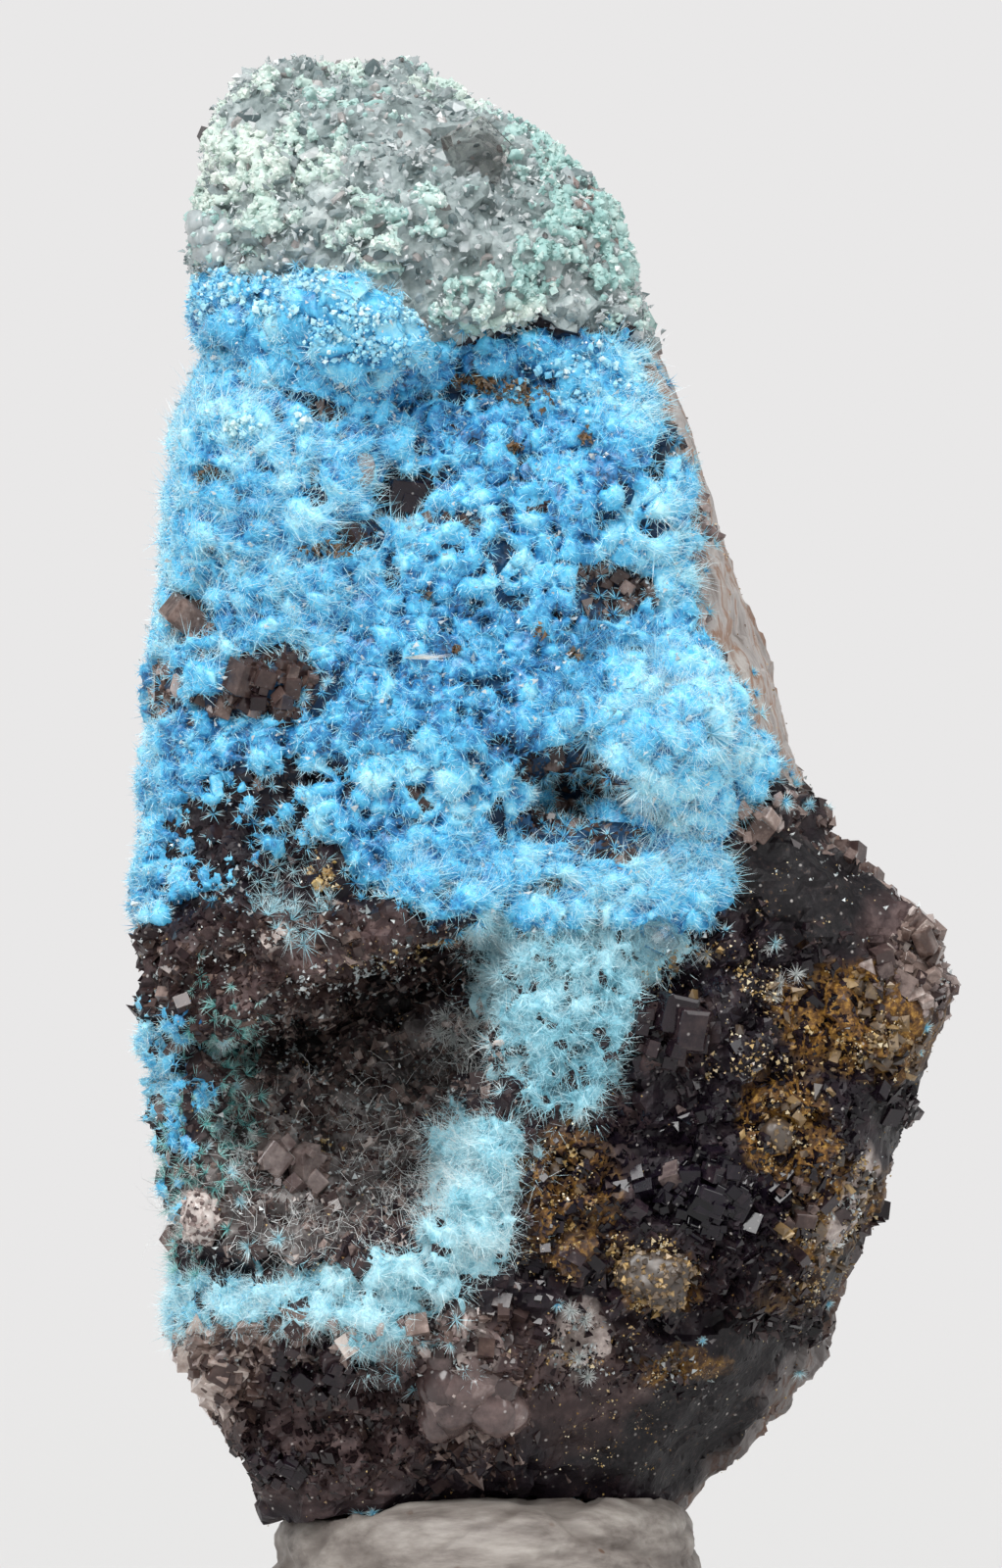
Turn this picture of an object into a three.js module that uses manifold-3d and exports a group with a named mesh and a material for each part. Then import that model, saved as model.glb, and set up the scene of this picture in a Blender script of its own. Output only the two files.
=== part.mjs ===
// A cyanotrichite specimen: a shard of fluorite and quartz with a coat of blue needles, standing in
// a pad of mounting putty. Millimetres, +Z up, +X to the viewer's right, +Y away from the viewer.
// The origin is the centre of the pad's flat underside.
import * as THREE from "three";
import { mergeVertices } from "three/addons/utils/BufferGeometryUtils.js";
import Module from "manifold-3d";

const wasm = await Module();
wasm.setup();

// Driving dimensions
const SEAT_GAP = 0.2; // clearance between a piece and the rock that it grew on
const ROCK_STEP = 1.25; // height between two rings of the rock
const ROCK_ROUGHNESS = 0.22; // how far a broken face strays from its plane
const SIDEWAYS_ROUGHNESS = 0.11;
const RING_ROUGHNESS = 0.176; // how far a ring strays from its height
const HOLLOW_ROUGHNESS = 0.12; // as a share of the radius
const PEBBLE_ROUGHNESS = 0.18;
const NEEDLE_HEIGHT = 0.9; // from the rock to the needle tips of a mat
const LONG_NEEDLE_HEIGHT = 1.3;
const CRUST_HEIGHT = 0.7;
const COAT_FRONT = -13; // the slabs that outline the coats run from here
const COAT_BACK = 9; // back to here
const COAT_FADE = 2.0; // a coat thins out over this length at its back edge
const COAT_CLEARANCE = 0.24; // between a crystal and the coat around it
const CORNER_ROUNDING = 0.3;
const WELD_DISTANCE = 0.001; // points nearer than this are one point
const PAD_TOP = 6.5;
const PAD_SHOULDER = 6.6; // radius of the pad under its rounded top edge
const PAD_BELLY = 7.1;
const PAD_FOOT = 6.4; // radius of the flat underside
const PAD_SIDES = 24;

// The pad's outline from the middle of its underside to the middle of its top: radius and height
const PAD_PROFILE = [
  [0, 0], [PAD_FOOT, 0], [PAD_BELLY - 0.15, 0.7], [PAD_BELLY, 2.2], [PAD_SHOULDER + 0.15, 4.2],
  [PAD_SHOULDER, 5.2], [PAD_SHOULDER - 0.35, 6.0], [PAD_SHOULDER - 1.1, PAD_TOP], [0, PAD_TOP + 0.15],
];

// Points between two corners of a ring, from the front left edge round by the right and the back
const RING_STEPS = [4, 5, 6, 4, 3, 3, 3, 4];

// The rock as sections from foot to tip: height, then [x, y] of its front left edge, front, front,
// front right edge, right side, back right, back left and left side
const SECTIONS = [
  [
    6.2, [-6.6, -3.2], [-4.2, -4.2], [0.6, -3.6], [4.4, -2.2],
    [6.2, 1.6], [5.0, 3.8], [-5.2, 4.0], [-6.8, 0.4],
  ],
  [
    7.5, [-7.1, -4.2], [-4.2, -5.4], [0.6, -5.0], [4.8, -2.8],
    [7.4, 2.0], [6.0, 4.9], [-5.8, 5.2], [-7.4, 0.4],
  ],
  [
    9.0, [-8.1, -5.0], [-4.4, -6.2], [0.8, -5.8], [5.6, -3.4],
    [8.9, 2.2], [7.2, 5.8], [-6.4, 6.4], [-8.4, 0.6],
  ],
  [
    10.6, [-8.9, -5.8], [-4.6, -7.0], [1.2, -6.6], [6.8, -4.0],
    [10.1, 2.0], [8.0, 6.4], [-6.6, 7.2], [-9.2, 0.6],
  ],
  [
    12.2, [-9.1, -6.3], [-4.8, -7.6], [1.8, -7.4], [8.2, -4.6],
    [10.8, 1.4], [8.8, 6.8], [-6.8, 7.7], [-9.3, 0.6],
  ],
  [
    15.0, [-8.9, -6.6], [-4.8, -7.8], [2.8, -7.8], [10.2, -4.8],
    [11.85, 0.0], [9.8, 7.2], [-7.0, 8.2], [-9.3, 1.0],
  ],
  [
    18.0, [-9.3, -6.6], [-4.8, -7.8], [3.2, -7.8], [11.8, -5.2],
    [13.0, -1.2], [10.6, 7.4], [-7.4, 8.5], [-9.85, 1.2],
  ],
  [
    21.6, [-9.6, -6.7], [-4.8, -7.8], [3.2, -7.6], [12.8, -5.6],
    [14.2, -2.2], [11.0, 7.4], [-7.6, 8.4], [-10.2, 1.4],
  ],
  [
    24.0, [-9.5, -6.7], [-4.8, -7.6], [3.0, -7.4], [12.2, -5.6],
    [13.8, -2.6], [10.2, 7.6], [-7.6, 8.2], [-10.4, 1.6],
  ],
  [
    25.6, [-9.4, -6.6], [-4.9, -7.5], [2.6, -7.4], [10.8, -5.9],
    [12.2, -2.2], [9.4, 7.6], [-7.6, 8.0], [-10.2, 1.5],
  ],
  [
    27.0, [-9.4, -6.5], [-5.0, -7.4], [2.0, -7.4], [9.4, -6.1],
    [10.8, -1.0], [8.7, 7.7], [-7.6, 7.9], [-10.1, 1.4],
  ],
  [
    30.0, [-9.3, -6.2], [-5.2, -7.2], [1.4, -7.4], [7.7, -6.2],
    [9.3, 5.0], [7.8, 7.8], [-7.4, 7.8], [-9.8, 1.0],
  ],
  [
    33.0, [-9.2, -6.0], [-5.2, -7.2], [1.0, -7.2], [6.4, -5.4],
    [8.35, 5.0], [7.0, 7.6], [-7.2, 7.6], [-9.65, 0.8],
  ],
  [
    36.0, [-8.9, -5.8], [-5.0, -7.0], [0.8, -7.0], [6.6, -5.3],
    [7.45, 4.5], [6.2, 7.3], [-7.0, 7.4], [-9.35, 0.8],
  ],
  [
    39.0, [-8.6, -5.6], [-4.8, -6.6], [0.6, -6.0], [5.7, -4.9],
    [6.5, 3.5], [5.2, 6.8], [-6.8, 7.2], [-9.05, 1.0],
  ],
  [
    42.0, [-8.0, -5.2], [-4.6, -6.4], [0.4, -5.7], [4.6, -4.5],
    [5.4, 1.5], [4.4, 6.2], [-6.6, 6.8], [-8.3, 1.0],
  ],
  [
    42.7, [-8.1, -5.2], [-4.8, -6.7], [0.2, -6.8], [4.2, -5.0],
    [4.7, -0.6], [4.0, 6.0], [-6.4, 6.6], [-8.4, 0.9],
  ],
  [
    45.0, [-8.7, -4.8], [-5.0, -6.5], [-0.4, -6.6], [3.4, -4.8],
    [3.9, -1.6], [2.8, 5.3], [-6.2, 6.0], [-9.0, 0.8],
  ],
  [
    46.4, [-7.9, -4.6], [-5.0, -6.1], [-0.8, -6.0], [2.4, -4.2],
    [3.2, -1.2], [1.8, 4.7], [-6.0, 5.3], [-8.3, 0.6],
  ],
  [
    47.9, [-7.8, -4.0], [-5.4, -5.2], [-1.8, -4.9], [0.6, -3.2],
    [1.5, -0.6], [0.0, 4.0], [-5.8, 4.4], [-8.1, 0.4],
  ],
  [
    49.1, [-7.4, -3.2], [-5.6, -4.1], [-2.8, -3.7], [-1.0, -2.4],
    [-0.4, -0.2], [-1.8, 3.0], [-5.6, 3.3], [-7.7, 0.0],
  ],
  [
    50.0, [-6.0, -2.0], [-5.2, -2.5], [-3.6, -2.3], [-2.7, -1.4],
    [-2.3, 0.2], [-3.2, 1.6], [-5.0, 1.6], [-6.3, 0.0],
  ],
].map(([z, ...ring]) => ({ z, ring }));

// Swells (lift above 0) and hollows of the front face: centre, half sizes and tilt in degrees
const FRONT_RELIEF = [
  { name: "cap bulge", x: -2.4, z: 46.3, across: 5.5, up: 3.6, lift: 0.7, tilt: -15 },
  { name: "shoulder under the cap", x: -4.6, z: 42.4, across: 3.8, up: 1.7, lift: 1.0, tilt: -12 },
  { name: "hollow under the cap", x: -0.6, z: 40.6, across: 4.2, up: 1.3, lift: -0.9, tilt: -6 },
  { name: "bare block hollow", x: -2.5, z: 37.4, across: 1.9, up: 1.5, lift: -0.9, tilt: 0 },
  { name: "left swell", x: -6.1, z: 36.6, across: 3.2, up: 3.4, lift: 0.6, tilt: 0 },
  { name: "right shoulder", x: 4.0, z: 38.3, across: 2.8, up: 3.0, lift: 0.7, tilt: 20 },
  { name: "dark right hollow", x: 3.9, z: 34.4, across: 2.0, up: 1.2, lift: -1.0, tilt: 0 },
  { name: "needle tuft swell", x: 5.4, z: 29.8, across: 3.4, up: 3.2, lift: 1.4, tilt: -30 },
  { name: "middle swell", x: -1.2, z: 29.8, across: 4.4, up: 3.0, lift: 0.8, tilt: 10 },
  { name: "crystal row swell", x: -6.9, z: 31.6, across: 3.0, up: 1.3, lift: 0.7, tilt: 15 },
  { name: "hollow below the tuft", x: 2.6, z: 28.2, across: 2.4, up: 1.2, lift: -1.3, tilt: -20 },
  { name: "ledge over the vug", x: -6.0, z: 23.6, across: 4.6, up: 1.4, lift: 1.1, tilt: -4 },
  { name: "rib right of the vug", x: 2.4, z: 20.4, across: 2.2, up: 3.0, lift: 0.8, tilt: -10 },
  { name: "lower lip", x: -4.6, z: 12.7, across: 6.4, up: 1.4, lift: 0.9, tilt: 6 },
  { name: "right lip", x: 0.2, z: 15.6, across: 1.7, up: 2.8, lift: 0.8, tilt: -18 },
  { name: "purple block swell", x: 5.6, z: 21.0, across: 1.7, up: 1.6, lift: 0.6, tilt: 0 },
  { name: "smooth facet on the right", x: 9.0, z: 25.3, across: 3.4, up: 1.6, lift: 0.5, tilt: -25 },
  { name: "stepped crystals", x: 7.2, z: 15.6, across: 3.2, up: 2.4, lift: 0.7, tilt: 0 },
  { name: "crevice on the right", x: 6.6, z: 12.2, across: 4.0, up: 0.8, lift: -1.1, tilt: 14 },
  { name: "gold nodule swell", x: 5.1, z: 13.3, across: 1.6, up: 1.1, lift: 0.6, tilt: 0 },
  { name: "low crystal lump", x: -0.5, z: 10.6, across: 2.0, up: 3.0, lift: 1.0, tilt: 10 },
  { name: "undercut at lower left", x: -5.6, z: 9.6, across: 3.6, up: 1.6, lift: -0.8, tilt: -10 },
];

// The arch under the rock, which stands on its left and right corners
const ARCH = { middle: 1.0, halfWidth: 4.6, rise: 0.75, corners: -0.35 };

// The rock's lowest and highest point in the middle of its end rings, above those rings
const FOOT_CENTRE = { x: 0.2, y: 0.2, above: 0.7 };
const TIP = { x: -4.4, y: -0.4, above: 0.2 };

// The back edge of a coat wanders with height: how far, and how fast
const EDGE_WAVES = [
  { reach: 0.8, rate: 1.1 },
  { reach: 0.5, rate: 2.3 },
];

// Flat faces where the shard broke off: outward direction, and distance from the origin
const BREAK_FACES = [
  { name: "upper back", away: [0.1, 0.86, 0.5], distance: 25.6 },
  { name: "middle back", away: [-0.22, 0.97, 0.02], distance: 8.2 },
  { name: "right back", away: [0.72, 0.66, 0.2], distance: 13.4 },
  { name: "lower back", away: [0.12, 0.9, -0.4], distance: 2.0 },
  { name: "left back", away: [-0.9, 0.42, 0.06], distance: 10.4 },
  { name: "lower right", away: [0.86, 0.05, -0.5], distance: 4.2 },
  { name: "lower front", away: [0.34, -0.84, -0.42], distance: 2.7 },
];

// Hollows cut into the rock: centre, half sizes and turn about X in degrees
const VUG_FLOOR = { at: [-4.1, -7.9, 18.6], half: [4.7, 4.6, 4.3], turn: -6 };
const VUG_POCKET = { at: [-2.6, -6.2, 21.2], half: [3.9, 4.4, 1.9], turn: -20 };
const CAP_CREVICE = { at: [1.6, -6.9, 42.35], size: [6.2, 2.6, 0.3], tilt: 4 };

// Helpers between three.js geometry and manifold solids
function solidOf(geometry) {
  const bare = geometry.clone();
  bare.deleteAttribute("normal");
  bare.deleteAttribute("uv");
  const merged = mergeVertices(bare, 1e-4);
  const mesh = new wasm.Mesh({
    numProp: 3,
    vertProperties: new Float32Array(merged.attributes.position.array),
    triVerts: new Uint32Array(merged.index.array),
  });
  return new wasm.Manifold(mesh);
}

function geometryOf(solid) {
  const mesh = solid.getMesh();
  const geometry = new THREE.BufferGeometry();
  const position = new Float32Array(mesh.numVert * 3);
  for (let i = 0; i < mesh.numVert; i++) {
    const from = i * mesh.numProp;
    position.set(mesh.vertProperties.subarray(from, from + 3), i * 3);
  }
  geometry.setAttribute("position", new THREE.BufferAttribute(position, 3));
  geometry.setIndex(new THREE.BufferAttribute(mesh.triVerts, 1));
  geometry.computeVertexNormals();
  return geometry;
}

function largestBody(solid) {
  const bodies = solid.decompose();
  bodies.sort((a, b) => b.volume() - a.volume());
  return bodies[0];
}

// The largest body that stays in one piece when points that nearly touch are welded
function soundBody(solid) {
  const rough = geometryOf(largestBody(solid)).deleteAttribute("normal");
  const welded = mergeVertices(rough, WELD_DISTANCE);
  const corners = welded.index.array;
  const kept = [];
  for (let i = 0; i < corners.length; i += 3) {
    const [a, b, c] = corners.slice(i, i + 3);
    if (a !== b && b !== c && c !== a) kept.push(a, b, c);
  }
  welded.setIndex(kept);
  return largestBody(solidOf(welded));
}

// A repeatable random number from 0 to 1
function seededRandom(seed) {
  let state = seed >>> 0;
  return () => {
    state = (state + 0x6d2b79f5) >>> 0;
    let t = Math.imul(state ^ (state >>> 15), 1 | state);
    t = (t + Math.imul(t ^ (t >>> 7), 61 | t)) ^ t;
    return ((t ^ (t >>> 14)) >>> 0) / 4294967296;
  };
}

// The ring of the rock at one height
function ringAt(z) {
  let upper = SECTIONS.findIndex((section) => section.z >= z);
  upper = Math.max(1, upper);
  const [low, high] = [SECTIONS[upper - 1], SECTIONS[upper]];
  const share = (z - low.z) / (high.z - low.z);
  const corners = low.ring.map(([x, y], i) => {
    const [nextX, nextY] = high.ring[i];
    return new THREE.Vector3(x + share * (nextX - x), y + share * (nextY - y), z);
  });
  return new THREE.CatmullRomCurve3(corners, true, "catmullrom", CORNER_ROUNDING);
}

// How far the front face stands out at (x, z), over the swells and hollows
function frontLift(x, z) {
  let lift = 0;
  for (const bump of FRONT_RELIEF) {
    const turn = THREE.MathUtils.degToRad(bump.tilt);
    const along = (x - bump.x) * Math.cos(turn) + (z - bump.z) * Math.sin(turn);
    const over = (z - bump.z) * Math.cos(turn) - (x - bump.x) * Math.sin(turn);
    const distance = Math.hypot(along / bump.across, over / bump.up);
    if (distance < 1) lift += bump.lift * (1 - distance ** 2) ** 1.5;
  }
  return lift;
}

// 1 on the front corners, falling to 0 along the two sides
function frontShare(span, share) {
  if (span < 3) return 1;
  if (span === 3) return 1 - share;
  if (span === 7) return share;
  return 0;
}

// How far the lowest ring is raised at x
function archLift(x) {
  const bow = Math.max(0, 1 - ((x - ARCH.middle) / ARCH.halfWidth) ** 2);
  return ARCH.rise * bow + ARCH.corners;
}

function ringHeights() {
  const heights = [SECTIONS[0].z];
  for (let i = 1; i < SECTIONS.length; i++) {
    const rise = SECTIONS[i].z - SECTIONS[i - 1].z;
    const steps = Math.max(1, Math.round(rise / ROCK_STEP));
    for (let k = 1; k <= steps; k++) heights.push(SECTIONS[i - 1].z + (rise * k) / steps);
  }
  return heights;
}

// The outer skin of the rock, moved outwards along its normals by growAt(y, z)
function rockSkin(growAt) {
  const random = seededRandom(11);
  const stray = (reach) => reach * (2 * random() - 1);
  const heights = ringHeights();
  const position = [];
  for (const z of heights) {
    const ring = ringAt(z);
    RING_STEPS.forEach((steps, span) => {
      for (let k = 0; k < steps; k++) {
        const share = k / steps;
        const point = ring.getPoint((span + share) / RING_STEPS.length);
        const lift = frontLift(point.x, z) * frontShare(span, share);
        const foot = z === heights[0] ? archLift(point.x) : 0;
        position.push(
          point.x + stray(SIDEWAYS_ROUGHNESS),
          point.y - lift + stray(ROCK_ROUGHNESS),
          z + foot + stray(RING_ROUGHNESS),
        );
      }
    });
  }
  const around = RING_STEPS.reduce((sum, steps) => sum + steps, 0);
  const footCentre = position.length / 3;
  position.push(FOOT_CENTRE.x, FOOT_CENTRE.y, heights[0] + FOOT_CENTRE.above);
  const tip = position.length / 3;
  position.push(TIP.x, TIP.y, SECTIONS.at(-1).z + TIP.above);
  const index = [];
  for (let level = 0; level < heights.length - 1; level++) {
    for (let k = 0; k < around; k++) {
      const a = level * around + k;
      const b = level * around + ((k + 1) % around);
      index.push(a, b, b + around, a, b + around, a + around);
    }
  }
  const last = (heights.length - 1) * around;
  for (let k = 0; k < around; k++) {
    const next = (k + 1) % around;
    index.push(footCentre, next, k);
    index.push(tip, last + k, last + next);
  }
  const skin = new THREE.BufferGeometry();
  skin.setAttribute("position", new THREE.Float32BufferAttribute(position, 3));
  skin.setIndex(index);
  skin.computeVertexNormals();
  const { position: at, normal } = skin.attributes;
  for (let i = 0; i < at.count; i++) {
    const grow = growAt(at.getY(i), at.getZ(i));
    at.setXYZ(
      i,
      at.getX(i) + grow * normal.getX(i),
      at.getY(i) + grow * normal.getY(i),
      at.getZ(i) + grow * normal.getZ(i),
    );
  }
  return solidOf(skin);
}

// A ball with its points moved in and out
function roughBall(radius, detail, roughness, seed) {
  const random = seededRandom(seed);
  const plain = new THREE.IcosahedronGeometry(radius, detail);
  const ball = mergeVertices(plain.deleteAttribute("uv").deleteAttribute("normal"));
  const position = ball.attributes.position;
  const point = new THREE.Vector3();
  for (let i = 0; i < position.count; i++) {
    point.fromBufferAttribute(position, i);
    point.multiplyScalar(1 + roughness * (random() - 0.5));
    position.setXYZ(i, point.x, point.y, point.z);
  }
  return ball;
}

// A rough egg-shaped hollow, made smaller by grow
function hollow({ at, half, turn }, grow, seed) {
  const egg = roughBall(1, 2, HOLLOW_ROUGHNESS, seed);
  egg.scale(half[0] - grow, half[1] - grow, half[2] - grow);
  egg.rotateX(THREE.MathUtils.degToRad(turn));
  egg.translate(...at);
  return solidOf(egg);
}

function crevice({ at, size, tilt }, grow) {
  const slot = new THREE.BoxGeometry(size[0] - 2 * grow, size[1], Math.max(0.02, size[2] - 2 * grow));
  slot.rotateY(THREE.MathUtils.degToRad(tilt));
  slot.translate(...at);
  return solidOf(slot);
}

// The rock, made larger by grow, or by growAt on its outer skin and by faceGrow on its flat faces
function rock(grow, growAt = () => grow, faceGrow = grow) {
  let solid = rockSkin(growAt);
  for (const { away, distance } of BREAK_FACES) {
    const inward = new THREE.Vector3(...away).normalize().negate();
    solid = solid.trimByPlane(inward.toArray(), -(distance + faceGrow));
  }
  const vug = hollow(VUG_FLOOR, grow, 5).add(hollow(VUG_POCKET, grow, 9));
  return largestBody(solid.subtract(vug).subtract(crevice(CAP_CREVICE, grow)));
}

const matrixSolid = rock(0);
const rockWithClearance = rock(SEAT_GAP).add(matrixSolid);
const frontRay = new THREE.Raycaster();
const matrixProbe = new THREE.Mesh(
  geometryOf(matrixSolid),
  new THREE.MeshBasicMaterial({ side: THREE.DoubleSide }),
);

// The rock's front surface at (x, z)
function frontDepth(x, z) {
  frontRay.set(new THREE.Vector3(x, -40, z), new THREE.Vector3(0, 1, 0));
  return frontRay.intersectObject(matrixProbe)[0].point.y;
}

// Crystal shapes, centred on the origin
function cube(width, depth, height) {
  return solidOf(new THREE.BoxGeometry(width, depth, height));
}

function quartzPoint(radius, length) {
  const profile = [
    new THREE.Vector2(0, -length / 2),
    new THREE.Vector2(radius, -length / 2),
    new THREE.Vector2(radius, length / 2 - radius),
    new THREE.Vector2(0, length / 2),
  ];
  const point = new THREE.LatheGeometry(profile, 6);
  point.rotateX(Math.PI / 2);
  return solidOf(point);
}

function pebble(width, depth, height, seed) {
  const ball = roughBall(0.5, 1, PEBBLE_ROUGHNESS, seed);
  ball.scale(width, depth, height);
  return solidOf(ball);
}

// Intergrown cubes, joined in one solid: a core with count cubes strewn over it
function cubeCluster(count, width, depth, height, cubeSize, seed) {
  const random = seededRandom(seed);
  const spread = (range) => range * (random() - 0.5);
  const [coreWidth, coreDepth, coreHeight] = [0.75 * width, 0.8 * depth, 0.75 * height];
  let joined = cube(coreWidth, coreDepth, coreHeight).rotate([8, 14, spread(20)]);
  for (let i = 0; i < count; i++) {
    const side = cubeSize * (0.7 + 0.6 * random());
    const tall = side * (0.8 + 0.4 * random());
    const turn = [spread(60), spread(60), spread(90)];
    const place = [spread(coreWidth), spread(0.6 * depth), spread(coreHeight)];
    joined = joined.add(cube(side, side, tall).rotate(turn).translate(place));
  }
  return joined;
}

// Crystals that stand on the rock: name, shape, turn in degrees, x and z on the front face, and how
// far the centre stands out
const CRYSTALS = [
  ["smoky_fluorite_block", cube(1.9, 1.5, 1.6), [6, 8, 14], -2.6, 37.3, 0.15],
  ["pink_quartz_bead", pebble(0.9, 0.9, 1.2, 3), [0, 10, 0], -3.8, 38.1, 0.25],
  ["grey_fluorite_cube", cube(1.15, 1.1, 1.15), [18, 38, 20], -9.0, 33.6, 0.3],
  ["left_fluorite_cluster", cubeCluster(4, 3.4, 1.6, 1.9, 1.1, 21), [0, -18, 0], -6.3, 31.7, 0.3],
  ["left_edge_quartz", cubeCluster(2, 1.6, 1.4, 1.6, 0.9, 22), [0, 0, 0], -9.4, 30.9, 0.3],
  ["right_smoky_fluorite", cubeCluster(2, 1.8, 1.2, 1.4, 0.8, 23), [0, 0, 0], 3.7, 34.5, 0.15],
  ["clear_quartz_crystal", quartzPoint(0.75, 1.9), [70, 0, 20], 5.2, 23.75, 0.5],
  ["limonite_cube", cube(0.75, 0.75, 0.85), [12, 6, 10], -4.8, 25.7, 0.25],
  ["right_fluorite_pair", cubeCluster(1, 1.7, 1.1, 1.1, 0.8, 24), [0, 10, 0], 8.2, 27.45, 0.3],
  ["purple_fluorite_block", cubeCluster(1, 2.2, 1.5, 2.0, 1.2, 25), [0, 8, 0], 5.7, 20.9, 0.3],
  ["right_edge_quartz", cubeCluster(3, 1.7, 1.4, 2.0, 0.9, 26), [0, 0, 0], 13.1, 23.2, 0.25],
  ["stepped_fluorite", cubeCluster(5, 4.2, 1.6, 2.6, 1.2, 27), [0, -10, 0], 6.6, 15.8, 0.25],
  ["grey_fluorite_right", cubeCluster(2, 1.8, 1.2, 1.5, 0.9, 28), [0, 6, 0], 9.3, 15.5, 0.25],
  ["limonite_ball", pebble(1.05, 1.0, 1.0, 4), [0, 0, 0], 8.8, 17.8, 0.3],
  ["limonite_nodule", pebble(2.3, 1.2, 1.7, 6), [0, -12, 0], 5.1, 13.4, 0.25],
  ["low_quartz_cluster", cubeCluster(5, 3.2, 2.2, 4.0, 1.2, 29), [0, 10, 0], -0.4, 10.5, 0.5],
  ["lower_left_fluorite", cubeCluster(5, 3.4, 2.0, 2.2, 1.1, 30), [0, 4, 0], -5.3, 10.9, 0.4],
  ["lower_left_edge_fluorite", cubeCluster(3, 2.2, 1.8, 2.6, 1.2, 31), [0, 10, 0], -8.5, 10.3, 0.3],
  ["left_foot_fluorite", cubeCluster(3, 2.4, 1.6, 1.6, 0.9, 32), [0, -20, 0], -6.2, 7.9, 0.3],
  ["ledge_quartz", cubeCluster(3, 2.0, 1.2, 1.2, 0.7, 33), [0, 0, 0], -8.5, 22.9, 0.3],
  ["vug_quartz_crystal", cubeCluster(3, 2.0, 1.4, 1.8, 1.0, 34), [0, 0, 0], -5.9, 16.4, 0.35],
  ["vug_pale_nodule", pebble(1.5, 1.2, 1.5, 7), [0, 0, 0], -8.6, 15.4, 0.3],
  ["cap_smoky_window", cube(2.3, 1.1, 2.2), [6, 40, 8], -0.4, 47.4, 0.1],
  ["cap_left_quartz", cubeCluster(2, 2.0, 1.4, 1.8, 1.2, 35), [0, -8, 0], -8.2, 45.0, 0.25],
];

// The coats: height over the rock, how far back they reach, and their outline on the front face as [x, z]
const COATS = [
  {
    name: "green_crust",
    height: CRUST_HEIGHT,
    back: 2.6,
    outline: [
      [-11, 44.2], [-10.5, 51.6], [-1.5, 51.8], [3.4, 49.0], [6.0, 45.5], [5.6, 43.6], [4.0, 43.1],
      [1.0, 42.75], [-1.7, 42.8], [-4.2, 43.9], [-6.6, 44.4],
    ],
  },
  {
    name: "long_needle_tuft",
    height: LONG_NEEDLE_HEIGHT,
    back: -1.5,
    outline: [
      [2.2, 31.2], [3.8, 32.8], [6.3, 33.1], [9.6, 29.8], [7.6, 27.4], [6.0, 25.9], [4.4, 26.7], [3.4, 28.8],
    ],
  },
  {
    name: "cyanotrichite_mat",
    height: NEEDLE_HEIGHT,
    back: 1.0,
    outline: [
      [-11.5, 43.6], [-6.5, 43.8], [-4.2, 43.3], [-1.8, 42.1], [0.8, 41.9], [4.9, 42.1], [5.3, 39.8],
      [6.6, 38.8], [6.9, 35.7], [6.0, 33.5], [3.7, 33.2], [1.8, 31.3], [3.0, 28.6], [4.1, 26.3],
      [6.2, 25.4], [6.9, 24.7], [4.2, 24.6], [1.9, 23.5], [-0.5, 24.4], [-1.7, 25.1], [-3.8, 25.9],
      [-5.9, 24.7], [-8.0, 25.2], [-11.5, 24.4],
    ],
  },
  {
    name: "aqua_tuft",
    height: NEEDLE_HEIGHT,
    back: 2.0,
    outline: [
      [0.6, 22.9], [2.0, 22.9], [4.2, 23.9], [4.6, 21.9], [3.9, 20.4], [3.6, 18.9], [2.2, 18.2], [1.3, 19.2],
    ],
  },
  {
    name: "aqua_band",
    height: NEEDLE_HEIGHT,
    back: -0.4,
    outline: [
      [-11.5, 13.7], [-7.5, 13.6], [-4.5, 13.9], [-2.1, 14.9], [-0.6, 17.4], [0.4, 17.9], [1.2, 17.3],
      [1.1, 15.6], [0.4, 14.0], [-1.1, 12.9], [-3.2, 11.7], [-6.0, 12.2], [-11.5, 11.9],
    ],
  },
  {
    name: "left_edge_mat",
    height: NEEDLE_HEIGHT,
    back: -0.4,
    outline: [[-12, 22.4], [-9.2, 22.4], [-8.7, 20.6], [-8.9, 17.6], [-9.1, 14.4], [-12, 14.4]],
  },
];

// Colours, roughness and metalness of each node
const LOOKS = {
  putty: { color: 0xc9c2b8, roughness: 0.75 },
  matrix: { color: 0x3f363a, roughness: 0.6 },
  quartz: { color: 0x9a9490, roughness: 0.35 },
  fluorite: { color: 0x5a4f57, roughness: 0.35 },
  limonite: { color: 0xa27c3c, roughness: 0.5, metalness: 0.3 },
  needles: { color: 0x3f9bdc, roughness: 0.8 },
  aqua: { color: 0x9fd6de, roughness: 0.8 },
  crust: { color: 0xa9cfc0, roughness: 0.85 },
};
const COAT_LOOK = { green_crust: "crust", aqua_tuft: "aqua", aqua_band: "aqua" };

function lookOfCrystal(name) {
  if (name.startsWith("limonite")) return "limonite";
  return name.includes("quartz") || name.includes("pale") ? "quartz" : "fluorite";
}

const specimen = new THREE.Group();

function addNode(name, solid, look) {
  const mesh = new THREE.Mesh(geometryOf(solid), new THREE.MeshStandardMaterial(LOOKS[look]));
  mesh.name = name;
  specimen.add(mesh);
}

// The rock
addNode("matrix", matrixSolid, "matrix");

// The crystals, each cut back to the rock's surface
const placedCrystals = CRYSTALS.map(([name, shape, turn, x, z, out]) => {
  const place = [x, frontDepth(x, z) - out, z];
  const standing = shape.rotate(turn).translate(place);
  const solid = soundBody(standing.subtract(rockWithClearance));
  addNode(name, solid, lookOfCrystal(name));
  const box = shape.boundingBox();
  const grown = [0, 1, 2].map((i) => 1 + (2 * COAT_CLEARANCE) / (box.max[i] - box.min[i]));
  return shape.scale(grown).rotate(turn).translate(place);
});

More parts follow.
